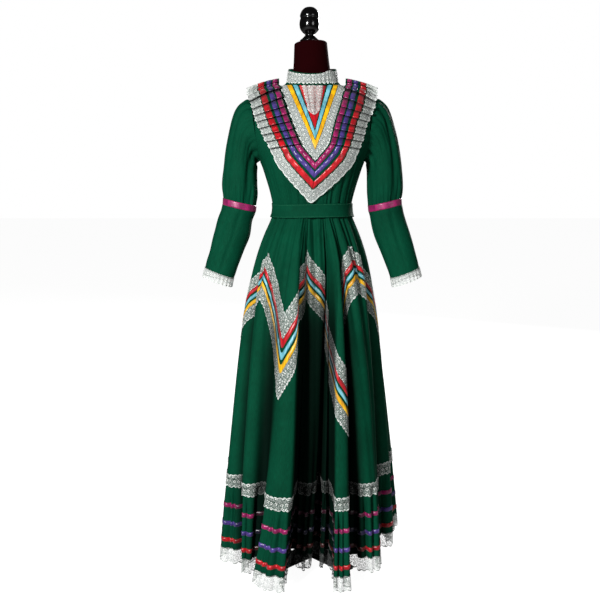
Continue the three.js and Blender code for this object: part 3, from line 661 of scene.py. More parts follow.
# ---------------------------------------------------------------- the dress form
@dataclass
class DressForm:
    """A limbless torso under velvet, with a turned knob, on a pole and a flat three-armed foot.

    Args:
        rows: z, half-width, depth to the front and back, and lean of the torso's sections.
        knob: radius and height of the knob's profile, above its seat.
        rod: the same of the pole, from the floor.
        lid: how far the neck's top ring is drawn in, and raised, row by row; base is the same below.
        seat: height of the neck's top.
        lean: how far the neck's top stands from the pole's axis.
        inset: how far the torso is drawn in under the cloth, below neck_z.
    """

    rows: Rows = (
        (775, 146, 94, 104, 0), (850, 150, 98, 110, 0), (930, 138, 93, 102, 0), (1000, 114, 84, 86, 0),
        (1045, 105, 80, 80, 0), (1100, 111, 90, 82, 0), (1160, 122, 110, 88, 0), (1210, 130, 117, 91, 0),
        (1265, 138, 106, 92, 0), (1310, 148, 88, 88, 0), (1342, 157.5, 69, 78, 0), (1363, 141, 55, 65, 0),
        (1386, 93, 51, 56, 0), (1404, 60, 51, 52, 0), (1440, 52, 49, 50, -2), (1508, 46, 46, 46, -5))
    knob: Rows = (
        (27, 0), (27.6, 2), (27, 4), (21, 9), (14, 16), (13, 20), (19, 25), (26, 34), (28.5, 46), (27.5, 58),
        (25.5, 64), (27, 68), (26.5, 74), (22, 84), (13, 92), (0.6, 95))
    rod: Rows = (
        (0.5, 774), (13.2, 774), (14, 773), (14, 740), (14, 70), (14, 34), (19, 32), (19.5, 30), (19.5, 14),
        (19, 11), (0.5, 10.6))
    lid: Rows = (
        (0.02, 7.0), (0.35, 7.0), (0.55, 6.9), (0.7, 6.6), (0.8, 6.2), (0.88, 5.2), (0.94, 3.8), (0.98, 1.9))
    base: Rows = ((0.985, -1.2), (0.94, -2.0), (0.5, -2.0), (0.02, -2.0))
    seat: float = 1514.3
    lean: float = -8.0
    inset: float = 1.6
    neck_z: float = 1400

    def torso(self) -> None:
        """Build the padded torso and neck, closed above and below with rounded edges."""
        z = np.concatenate([np.linspace(775, self.neck_z, 70), np.linspace(1404, 1508, 24)])
        rings = []
        for level in z[::-1]:
            half, front, back, lean = read_rows(self.rows, level)
            draw = self.inset if level < self.neck_z else 0.0
            x, y = section(np.arange(96) * 3.75, half - draw, front - draw, back - draw, 2.15)
            rings.append(xyz(x + lean, y, level))
        grid = np.array([*[self._shrunk(rings[0], *row) for row in self.lid], *rings,
                         *[self._shrunk(rings[-1], *row) for row in self.base]])
        x, z = grid[..., 0], grid[..., 2]
        grid[..., 2] += np.where(z > 1440, (x - self.lean) * 0.05 * (z - 1440) / 70, 0)
        dress(mesh_of("form_torso", [Patch(grid, closed=True)]), Stuff.VELVET, ["form_body"])

    @staticmethod
    def _shrunk(ring: Array, share: float, rise: float) -> Array:
        """Draw a ring towards its middle and raise it."""
        middle = ring.mean(axis=0)
        return middle + (ring - middle) * share + (0, 0, rise)

    @staticmethod
    def lathe(profile: Array, sides: int, middle: float = 0.0, seat: float = 0.0) -> list[Patch]:
        """Run a profile of radii and heights round the axis."""
        turn = np.arange(sides) * 360 / sides
        radius, height = profile[:, :1], profile[:, 1:]
        return [Patch(xyz(middle + radius * sine(turn), -radius * cosine(turn), seat + height), closed=True)]

    def build(self) -> None:
        """Build the torso, the knob and the pole with its collar, and finish the foot."""
        self.torso()
        profile = np.array([*catmull(np.array(self.knob), 5)[::-1], (0.6, 0.0)])
        knob = mesh_of("form_knob", self.lathe(profile, 64, self.lean, self.seat))
        dress(knob, Stuff.LACQUER, ["form_finial"])
        dress(mesh_of("form_rod", self.lathe(np.array(self.rod), 48)), Stuff.STEEL, ["form_pole"])
        coat(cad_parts["form_foot"], Stuff.STEEL)


# ---------------------------------------------------------------- the bodice and what lies on it
@dataclass
class Bodice:
    """A fitted bodice cut as one front and one back, gathered a little into the waist seam.

    Args:
        rows: z, half-width and depth to the front and back of the sections.
        armpit: x and z of the armhole's lowest point.
        shoulder: x and z of its highest point.
        neck: half-width and depths of the neckline.
    """

    rows: Rows = (
        (1045, 111, 88, 87), (1095, 121, 103, 92), (1138, 134, 120, 99), (1180, 149, 129, 103),
        (1215, 170, 129, 104), (1265, 187, 117, 104), (1325, 189, 91, 94), (1358, 174, 64, 73),
        (1376, 128, 57, 64), (1392, 88, 55, 60))
    armpit: tuple[float, float] = (149, 1182)
    shoulder: tuple[float, float] = (172, 1358)
    neck: tuple[float, float, float] = (71, 60, 57)
    girth: float = 792
    gathers: Gathers = Gathers(24, 5.0, 5.5, 0.9, 10, 150, 0.0, 11)
    puckers: Gathers = Gathers(9, 1.3, 2.6, 1.0, 5, 45, 0.0, 12)

    def armhole_x(self, z: Numbers) -> Array:
        """Give the armhole plane's x at a height."""
        rise = (self.shoulder[0] - self.armpit[0]) / (self.shoulder[1] - self.armpit[1])
        return self.armpit[0] + (np.asarray(z, float) - self.armpit[1]) * rise

    @staticmethod
    def neck_z(azimuth: Array) -> Array:
        """Give the neckline's height round the neck."""
        return 1402 - 9 * cosine(azimuth)

    def depth(self, x: Array, z: Array, facing: int) -> Array:
        """Give how far the bodice stands from y = 0 at a place in front view."""
        half, front, back = read_rows(self.rows, np.minimum(z, 1391.5))
        share = np.minimum(np.abs(x) / half, 1)
        return (front if facing < 0 else back) * (1 - share**SQUARE) ** (1 / SQUARE)

    def cover(self, x: Array, z: Array, facing: int) -> Array:
        """Give the same with the sleeve's head, which stands there past the armhole."""
        up = np.clip((z - self.armpit[1]) / (self.shoulder[1] - self.armpit[1]) * 2 - 1, -1, 1)
        sleeve = (73 if facing < 0 else 66) * np.sqrt(1 - up * up)
        return np.maximum(self.depth(x, z, facing), sleeve * smoothstep(np.abs(x), 140, 168))

    def on_front(self, x: Array, z: Array, lift: Numbers) -> Array:
        """Put front view places on the bodice's front, moved out by lift."""
        at = self.depth(x, z, -1)
        by_x = np.clip((self.depth(x + 1, z, -1) - self.depth(x - 1, z, -1)) / 2, -1.5, 1.5)
        by_z = (self.depth(x, z + 1, -1) - self.depth(x, z - 1, -1)) / 2
        return xyz(x, -at, z) + unit(xyz(-by_x, -1.0, -by_z)) * np.broadcast_to(lift, at.shape)[..., None]

    def panel(self, facing: int) -> Patch:
        """Build the front or the back, whose sides follow the side seam, the armhole and the shoulder."""
        share = np.linspace(-1, 1, 180)
        rows = [self._neck_ring(share * 90, part, facing) for part in (1.0, 0.66, 0.33)]
        for z in np.linspace(1392, 1045, 60):
            half = float(read_rows(self.rows, z)[0])
            edge = float(self.armhole_x(z)) if z > self.armpit[1] else math.inf
            limit = 90.0 if edge >= half else math.degrees(math.asin((edge / half) ** (SQUARE / 2)))
            rows.append(self._ring(share * limit, z, facing))
        return Patch(np.array(rows))

    def _ring(self, azimuth: Array, z: float, facing: int) -> Array:
        """Give one row of a panel, with the gathers over the waist."""
        around = azimuth if facing < 0 else azimuth + 180
        x, y = section(around, *read_rows(self.rows, z))
        fall = np.full_like(x, z - 1062)
        place = (around % 360) * self.girth / 360
        move = self.gathers.offset(place, fall, self.girth) + self.puckers.offset(place, fall, self.girth)
        move = move + 1.1 * np.minimum(seeded_noise(place / 26, fall / 40, 5), 0)
        return xyz(x, y, z) + xyz(sine(around), -cosine(around), 0.0) * move[..., None]

    def _neck_ring(self, azimuth: Array, part: float, facing: int) -> Array:
        """Give a row between the highest section and the neckline."""
        around = azimuth if facing < 0 else azimuth + 180
        x, y = section(around, *(mix(a, b, part) for a, b in zip(self.rows[-1][1:], self.neck)))
        return xyz(x, y, mix(1392, self.neck_z(around), part))

    def build(self) -> None:
        """Build both panels."""
        for name, facing in (("bodice_front", -1), ("bodice_back", 1)):
            sew(name + "_cloth", [self.panel(facing)], Stuff.POPLIN, [name], 1.2)


@dataclass
class Collar:
    """A low stand collar covered by lace, with a narrow gathered frill of the dress cloth at its base.

    Args:
        half: half-width at its top and base; front and back are its depths.
        lace: shares of the way down at which the lace starts and ends.
        columns: points round it.
    """

    half: tuple[float, float] = (67, 70)
    front: tuple[float, float] = (60, 62)
    back: tuple[float, float] = (56, 58)
    lace: tuple[float, float] = (0.1, 0.96)
    columns: int = 420

    def grid(self, share: Array, lift: Numbers, azimuth: Array) -> Array:
        """Give points of the collar at shares of the way down, moved out by lift."""
        top = 1437 - 12 * cosine(azimuth) - 3 * cosine(2 * azimuth)
        sizes = (mix(*ends, share) + lift for ends in (self.half, self.front, self.back))
        return xyz(*section(azimuth, *sizes, 2.1), mix(top, Bodice.neck_z(azimuth) + 0.8, share))

    def build(self) -> None:
        """Build the band, its frill and its lace."""
        azimuth = np.arange(self.columns) * 360 / self.columns
        down = np.linspace(0, 1, 8)[:, None]
        band = self.grid(down, 0.5 * np.sin(azimuth * 0.31) * (1 - down), azimuth)
        down = np.linspace(0, 1, 6)[:, None]
        wave = np.sin(np.radians(azimuth) * 38 + 1.3 * sine(azimuth * 5))
        frill = self.grid(0.86 + 0.26 * down, 1.4 + (3.4 + 2.4 * wave) * down**1.2, azimuth)
        frill[:, :, 2] += 0.8 * np.sin(np.radians(azimuth) * 38 + 1) * down
        sew("collar_cloth", [Patch(band, True), Patch(frill, True)], Stuff.POPLIN, ["collar"],
            1.0)
        down = np.linspace(0, 1, 7)[:, None]
        start, end = self.lace
        scallop = lobes(lengths_along(self.grid(np.array([[end]]), 0.0, azimuth)[0]), 9)
        share = mix(start, end + 0.07 * scallop, down)
        crimp = np.sin(np.radians(azimuth) * 46 + 2 * sine(azimuth * 7))
        lace = self.grid(share, 1.9 + 0.8 * crimp * (0.3 + down) + 1.2 * down, azimuth)
        lace[:, :, 2] += 7.0 * np.exp(-(((azimuth - 40) / 17) ** 2)) * (1 - share)
        sew("collar_lace_band", [Patch(lace, True, (1 - down) * 26)], Stuff.LACE, ["collar_lace"])


def sway(z: Numbers) -> Array:
    """Give how far the bib and ruffle hang off the middle at a height."""
    return monotone([1063, 1110, 1184, 1240, 1320, 1392], [-6, 1, 6, 6, 3, 0], z)


@dataclass
class Bib:
    """The V-shaped bib: a scarlet panel edged with ribbons and lace, and a lace fall in its middle."""

    bodice: Bodice
    top: float = 1392
    lift: float = 1.5

    def leg(self, half: float, tip: float, knee: tuple[float, float] | None = None) -> Array:
        """Give the points of one V line's left half, from the neckline past its knee down to its tip."""
        z = np.linspace(self.top, tip, 150)
        x = half * (z - tip) / (self.top - tip)
        if knee:
            x = monotone([tip, knee[1], self.top], [0.0, knee[0], half], z)
        return np.stack([-x, z], axis=-1)

    def stripe(self, outer: tuple, inner: tuple, crimp: float = 0.0, scallop: float = 0.0) -> Patch:
        """Build a V stripe between two V lines, mitred at its tip.

        Args:
            outer: half-width, tip and knee of its outer line.
            inner: the same of its inner line.
            crimp: height of its gathers.
            scallop: height of the lobes on its outer edge.

        Returns:
            The stripe.
        """
        out_line, in_line = (np.concatenate([leg, (leg * (-1, 1))[::-1][1:]])
                             for leg in (self.leg(*outer), self.leg(*inner)))
        along = lengths_along(out_line)
        out_line = out_line + unit(out_line - in_line) * (lobes(along, 9) * scallop)[:, None]
        down = np.linspace(0, 1, 7)[:, None]
        x, z = np.moveaxis(mix(in_line[None], out_line[None], down[..., None]), -1, 0)
        wave = np.sin(along / 8.5 * math.tau + 1.5 * np.sin(along / 31)) * crimp
        rise = self.lift + (wave + crimp) * (0.35 + 0.65 * down)
        return Patch(self.bodice.on_front(x + sway(z), np.minimum(z, self.top), rise), rim=(1 - down) * 24)

    def panel(self, half: float, tip: float) -> Patch:
        """Build the scarlet panel, a V filled to its middle."""
        level = np.linspace(self.top, tip + 0.4, 40)[:, None]
        wide = half * (level - tip) / (self.top - tip)
        x, z = np.broadcast_arrays(wide * np.linspace(-1, 1, 31) + sway(level), level)
        return Patch(self.bodice.on_front(x, z, self.lift - 0.6))

    def fall(self) -> Patch:
        """Build the lace fall: folded down its middle, scalloped at its sides, pointed below."""
        level = np.linspace(1391, 1304, 90)
        wide = monotone([1304, 1312, 1323, 1332, 1345, 1391], [0.5, 9, 17, 16.5, 20, 28], level)
        along = lengths_along(np.stack([wide, level], axis=-1))
        wide = wide + lobes(along, 8) * 2.2 * smoothstep(wide, 2, 10)
        across = np.linspace(-1, 1, 25)
        x, z = np.broadcast_arrays(wide[:, None] * across + sway(level)[:, None], level[:, None])
        pleat = 3.0 * np.exp(-((across * 5) ** 2)) + 1.6 * np.cos(across * 9) + 0.8 * np.cos(across * 21 + 1)
        return Patch(self.bodice.on_front(x, z, self.lift + 3.2 + pleat * smoothstep(z, 1300, 1325)))

    def build(self) -> None:
        """Build the bib's pieces from the panel outwards."""
        sew("bib_panel", [self.panel(38, 1269)], Stuff.SCARLET, ["bib_panel_scarlet"], 0.4)
        for name, kind, outer, inner in (("sky", Stuff.SKY, (54, 1240), (42, 1262)),
                                         ("gold", Stuff.GOLD, (71, 1213), (58, 1237))):
            stripe = self.stripe(outer, inner)
            sew(f"bib_{name}_ribbon", [stripe], kind, [f"bib_ribbon_{name}"], 0.4)
        sew("bib_lace_edge", [self.stripe((91, 1184, (35, 1228)), (72, 1211), 0.9, 2.2)], Stuff.LACE,
            ["bib_lace_v"])
        sew("bib_lace_fall", [self.fall()], Stuff.LACE, ["bib_lace_centre"])


@dataclass(frozen=True)
class RufflePlan:
    """One side of the ruffle's course on the front or the back, in front view.

    Args:
        facing: -1 on the front, 1 on the back.
        pleats: knife pleats from the shoulder to the turn.
        inner: x and z of the inner edge at the top, the turn, and on to the tip.
        outer: the same of the outer edge.
    """

    facing: int
    pleats: int
    inner: Rows
    outer: Rows


@dataclass
class Ruffle:
    """A knife-pleated ruffle round the bib and over the shoulders, banded with ribbons and edged with lace.

    Args:
        bodice: what it lies on.
        front: its course on the front; back is that on the back.
        crest: x and z of its inner and outer edge where it goes over the shoulder.
        over: pleats from the top station to the middle of the shoulder.
        fullness: how much the pleats' height is drawn out.
        profile: one knife pleat: place in the pleat and height, in the order that the cloth runs.
        painted_shades: painted shade at each point of the profile, a painted shadow line under each pleat's
            lower edge.
        lowest: height of the cloth between pleats.
    """

    bodice: Bodice
    front: RufflePlan = RufflePlan(
        -1, 8, ((94, 1394), (38, 1229), (30, 1219), (20, 1207), (11, 1197), (0, 1183)),
        ((184, 1362), (125, 1218), (106, 1172), (74, 1135), (42, 1103), (0, 1064)))
    back: RufflePlan = RufflePlan(
        1, 5, ((94, 1394), (36, 1262), (15, 1240), (0, 1226)),
        ((184, 1362), (126, 1232), (84, 1180), (0, 1122)))
    crest: tuple[tuple[float, float], tuple[float, float]] = ((94, 1400), (184, 1373))
    over: float = 1.7
    fullness: float = 2.1
    profile: tuple[tuple[float, float], ...] = (
        (0.0, 3.2), (0.12, 4.4), (0.3, 5.6), (0.5, 6.8), (0.7, 8.0), (0.88, 9.2), (0.97, 9.6), (1.03, 9.2),
        (1.05, 8.0), (1.0, 6.8), (0.88, 5.8), (0.76, 4.9), (0.72, 4.2), (0.76, 3.6), (0.88, 3.3))
    # painted shadow under each pleat's lower edge, where the pleat above would cast its shadow
    painted_shades: tuple[float, ...] = (1, 0.8, 0.3, 0, 0, 0, 0, 0.2, 1, 1, 1, 1, 1, 1, 1)
    lowest: float = 3.2

    def course(self, plan: RufflePlan, q: float, shares: Array, height: float) -> Array:
        """Give points across the ruffle at q pleats below the shoulder.

        Args:
            plan: the side's course.
            q: pleats below the shoulder's top station; less than 0 is on the crest.
            shares: shares of the way from the inner to the outer edge.
            height: how far the cloth stands off what is under it.

        Returns:
            The points, one for each share, each with how far it hangs off the middle.
        """
        if q < 0:
            return self._over_shoulder(plan, 1 + q / self.over, shares, height)
        keys = [0.0, *[float(plan.pleats + i) for i in range(len(plan.inner) - 1)]]
        inner, outer = ([np.interp(q, keys, values) for values in zip(*line)]
                        for line in (plan.inner, plan.outer))
        x, z = (mix(a, b, shares) for a, b in zip(inner, outer))
        off = height + 20 * shares * (1 - shares) * (1 if q < plan.pleats else 0.4) + 3 * shares
        rise = smoothstep(z, 1325, 1375) * 0.8
        shift = sway(z) * smoothstep(q, plan.pleats - 4, plan.pleats + 1) if plan.facing < 0 else 0 * z
        depth = self.bodice.cover(x, z, plan.facing)
        return np.stack([x, plan.facing * (depth + off * (1 - rise)), z + off * rise, shift], axis=-1)

    def _over_shoulder(self, plan: RufflePlan, part: float, shares: Array, height: float) -> Array:
        """Give points on the crest of the shoulder: part is 1 at the top station and 0 at y = 0."""
        x, y, z, _ = self.course(plan, 0.0, shares, 0.0).T
        (inner_x, inner_z), (outer_x, outer_z) = self.crest
        crest_z = mix(inner_z, outer_z, shares) + 12 * shares * (1 - shares) + 1.0
        lean = part * 0.6
        y = y * math.sin(part * math.pi / 2) + plan.facing * height * lean
        z = mix(z, crest_z, math.cos(part * math.pi / 2)) + height * (1 - lean * 0.5)
        return np.stack([mix(mix(inner_x, outer_x, shares), x, part), y, z, 0 * z], axis=-1)

    def _stations(self, plan: RufflePlan) -> list[tuple[float, float, float]]:
        """Give place, height and painted shade of each column, from the crest down to the V's tip."""
        pleated = [(pleat + place, mix(self.lowest, height, self.fullness), shade)
                   for pleat in range(-2, plan.pleats)
                   for (place, height), shade in zip(self.profile, self.painted_shades)]
        stations = [(q, height, shade if q > 0 else 0.0) for q, height, shade in pleated if q >= -self.over]
        # the painted shade fades out past the last pleat, over the flat V
        return stations + [(q, 3.6 + 0.9 * math.sin(q * 7.0), max(0.0, 1 - 5 * (q - plan.pleats)))
                           for q in np.linspace(plan.pleats + 0.06, plan.pleats + len(plan.inner) - 2, 46)]

    def strip(self, plan: RufflePlan, side: int, shares: Array, lift: float, scallop: float = 0.0) -> Patch:
        """Build one side's ruffle, or a band on it, as a grid whose columns go down the course.

        Args:
            plan: the course.
            side: 1 for +X, -1 for -X.
            shares: its rows' shares across the ruffle.
            lift: how far it lies off the ruffle's cloth.
            scallop: share by which lobes lengthen its outer edge.

        Returns:
            The strip, its face out.
        """
        stations = self._stations(plan)
        jitter = np.random.default_rng(30 + side + plan.facing).uniform(-0.02, 0.02, 40)
        columns = []
        for q, height, _ in stations:
            pleat = math.floor(q + 1e-6)
            step, wobble = 0.0, 1.0
            if q < plan.pleats:
                step = 0.03 * (q - pleat) + jitter[pleat + 3]
                wobble = 1 + 0.18 * math.sin(pleat * 2.4 + side) * shares
            lobe = abs(math.sin(math.pi * q * 2.0)) ** 0.6 * scallop
            reach = shares * (1 + (lobe - 1.2 * scallop + step) * (shares > 0.6))
            columns.append(self.course(plan, q, reach, height * wobble))
        x, y, z, shift = np.array(columns).transpose(2, 1, 0)
        grid = xyz(side * x + shift, y, z)
        wide = shares[-1] - shares[0]
        rim = (1 - (shares - shares[0]) / wide) * 90 * wide
        if side * plan.facing < 0:
            grid, rim = grid[::-1], rim[::-1]
        sign = self._facing_sign(grid, plan)
        grid = grid + outward(grid, False) * sign * lift
        # painted shade of each column: a painted shadow line under each pleat's lower edge
        depth = np.broadcast_to([shade for *_, shade in stations], grid.shape[:2])
        if sign < 0:
            grid, depth = grid[:, ::-1], depth[:, ::-1]
        return Patch(grid, rim=rim, depth=depth)

    @staticmethod
    def _facing_sign(grid: Array, plan: RufflePlan) -> float:
        """Tell whether a grid's normals look out of the body, by their mean on the flat end."""
        normal = outward(grid, False)[:, -20:].mean(axis=(0, 1))
        return 1.0 if normal[1] * plan.facing > 0 else -1.0

    def band(self, name: str, low: float, high: float, rows: int, lift: float, kind: Stuff, node_name: str,
             wall: float, scallop: float = 0.0) -> None:
        """Build one band round the whole ruffle from its four strips."""
        shares = np.linspace(low, high, rows)
        strips = [self.strip(plan, side, shares, lift, scallop) for plan in (self.front, self.back)
                  for side in (-1, 1)]
        sew(name, strips, kind, [node_name], wall)

    def build(self) -> None:
        """Build the ruffle's cloth, ribbons and lace."""
        self.band("ruffle_cloth", 0.0, 0.82, 12, 0.0, Stuff.POPLIN, "ruffle", 0.5)
        self.band("ruffle_magenta", 0.05, 0.2, 3, 0.55, Stuff.MAGENTA, "ruffle_ribbon_magenta", 0.2)
        self.band("ruffle_violet", 0.25, 0.39, 3, 0.55, Stuff.VIOLET, "ruffle_ribbon_violet", 0.2)
        self.band("ruffle_scarlet", 0.47, 0.64, 4, 0.55, Stuff.SCARLET, "ruffle_ribbon_scarlet", 0.2)
        self.band("ruffle_lace_edge", 0.68, 1.0, 7, 0.6, Stuff.LACE, "ruffle_lace", 0.0, 0.035)


# ---------------------------------------------------------------- sleeves
@dataclass
class Sleeve:
    """A gathered sleeve to the elbow, a ribbon band, and a plain lower sleeve with lace at its wrist.

    Args:
        label: right or left, the wearer's.
        side: -1 for right, 1 for left.
        bodice: what it is sewn to.
        upper: rings of the upper sleeve: x and z of its outer and inner side in front view, half depth, and
            how far forward it hangs; band, lower and cuff are the same of the other pieces.
        girth: the length round it that its gathers are spread over.
    """

    label: str
    side: int
    bodice: Bodice
    upper: Rows = (
        (192, 1358, 154, 1178, 70, 0), (220, 1330, 155, 1172, 67, 1), (240, 1262, 157, 1160, 62, 3),
        (253, 1185, 156, 1130, 57, 7), (259, 1118, 156, 1092, 52, 10), (256, 1078, 160, 1056, 44, 12),
        (252.5, 1071, 163.5, 1049, 41, 12.2))
    band: Rows = (
        (255.2, 1080, 160.4, 1058, 43.8, 12), (256.6, 1062, 162.4, 1040, 43.8, 12.5))
    lower: Rows = (
        (257.2, 1063.6, 162.1, 1041.6, 44, 12.5), (274, 1008, 180, 975, 43, 17), (292, 944, 203, 912, 41, 23),
        (309, 880, 227, 848, 39, 30))
    cuff: Rows = (
        (308, 884, 226, 852, 38.6, 30), (313, 860, 232, 829, 39.5, 32))
    girth: float = 330
    head: Gathers = Gathers(15, 4.6, 3.8, 0.8, 12, 120, 0.0, 41)
    soft: Gathers = Gathers(52, 6.5, 11, 0.2, 60, 330, 0.35, 42)
    elbow: Gathers = Gathers(13, 3.4, 3.4, 1.0, 6, 75, 0.0, 43)
    slack: Gathers = Gathers(40, 3.0, 8, 0.5, 30, 200, 0.3, 44)
    turns: Array = field(default_factory=lambda: np.arange(132) * 360 / 132)

    def __post_init__(self) -> None:
        """Give each turn its share of the way from the sleeve's inner to its outer side."""
        self.share = (1 + sine(self.turns) * self.side) / 2

    def ring(self, row: tuple[float, ...]) -> Array:
        """Give the ring of a row."""
        out_x, out_z, in_x, in_z, deep, forward = row
        return xyz(self.side * mix(in_x, out_x, self.share), -forward - deep * cosine(self.turns),
                   mix(in_z, out_z, self.share))

    def armhole(self) -> Array:
        """Give the ring that follows the armhole."""
        z = mix(self.bodice.armpit[1] + 2, self.bodice.shoulder[1] - 1, self.share)
        ahead = cosine(self.turns)
        deep = np.where(ahead > 0, 72, 64) * np.abs(ahead) ** np.where(self.share < 0.5, 0.5, 1.0)
        return xyz(self.side * (self.bodice.armhole_x(z) + 0.7), -deep * np.sign(ahead), z)

    def tube(self, rows: list[Array], spans: int, gathers: list[Gathers], crease: float,
             below: Gathers | None = None) -> Array:
        """Run a tube through rings and gather it.

        Args:
            rows: its rings from the top down.
            spans: steps between rings.
            gathers: those that start at its upper end.
            crease: depth of the slack creases across it.
            below: the gathers that start at its lower end.

        Returns:
            The tube's grid.
        """
        grid = catmull(np.array(rows), spans)
        fall = from_zero(steps(grid).mean(axis=1))[:, None]
        along = self.turns / 360 * self.girth
        move = sum((part.offset(along, fall, self.girth) for part in gathers), np.zeros(grid.shape[:2]))
        if below:
            move = move + below.offset(along, fall[-1] - fall, self.girth)
        ends = smoothstep(fall, 0, 25) * smoothstep(fall[-1] - fall, 0, 25)
        slant = fall / 17 + 2.2 * sine(self.turns + 40)
        move = move + crease * ends * seeded_noise(slant, along / 60, 7 + self.side)
        return grid + outward(grid, True) * move[..., None]

    def _sew(self, part: str, ending: str, patch: Patch, kind: Stuff,
             wall: float = 0.0) -> None:
        """Sew one piece of this side's sleeve."""
        sew(f"{part}_{self.label}_{ending}", [patch], kind, [f"{part}_{self.label}"],
            wall)

    def build(self) -> None:
        """Build the sleeve's four pieces."""
        rings = [self.armhole(), *map(self.ring, self.upper)]
        upper = self.tube(rings, 9, [self.head, self.soft], 1.6, self.elbow)
        self._sew("sleeve_upper", "cloth", Patch(upper, True), Stuff.POPLIN,
                  1.0)
        band = self.tube([*map(self.ring, self.band)], 6, [], 0.2)
        band = band + outward(band, True) * 0.9
        self._sew("sleeve_band", "ribbon", Patch(band, True), Stuff.MAGENTA,
                  0.5)
        lower = self.tube([*map(self.ring, self.lower)], 14, [self.slack], 1.7)
        self._sew("sleeve_lower", "cloth", Patch(lower, True), Stuff.POPLIN,
                  1.0)
        down = np.linspace(0, 1, 7)[:, None]
        top, low = map(self.ring, self.cuff)
        frill = mix(top, low, (down * (1 + 0.16 * lobes(lengths_along(low), 9)))[..., None])
        wave = np.sin(np.radians(self.turns) * 22) * (0.4 + 1.3 * down)
        frill = frill + outward(frill, True) * (1.3 + wave)[..., None]
        self._sew("cuff_lace", "frill", Patch(frill, True, (1 - down) * 22), Stuff.LACE)


# ---------------------------------------------------------------- the skirt
@dataclass(frozen=True)
class Fold:
    """One hanging fold: the azimuths of its edges at hip and hem, its radius at the hem and its hem's height.

    valley_l and valley_r are the azimuths at the hem of the valley after it, and dip is the valley's radius
    there. swing is how late the fold turns aside on its way down, and flare how late it widens.
    """

    name: str
    hip_l: float
    hip_r: float
    hem_l: float
    hem_r: float
    out: float
    valley_l: float
    valley_r: float
    dip: float
    hem: float
    swing: float
    flare: float


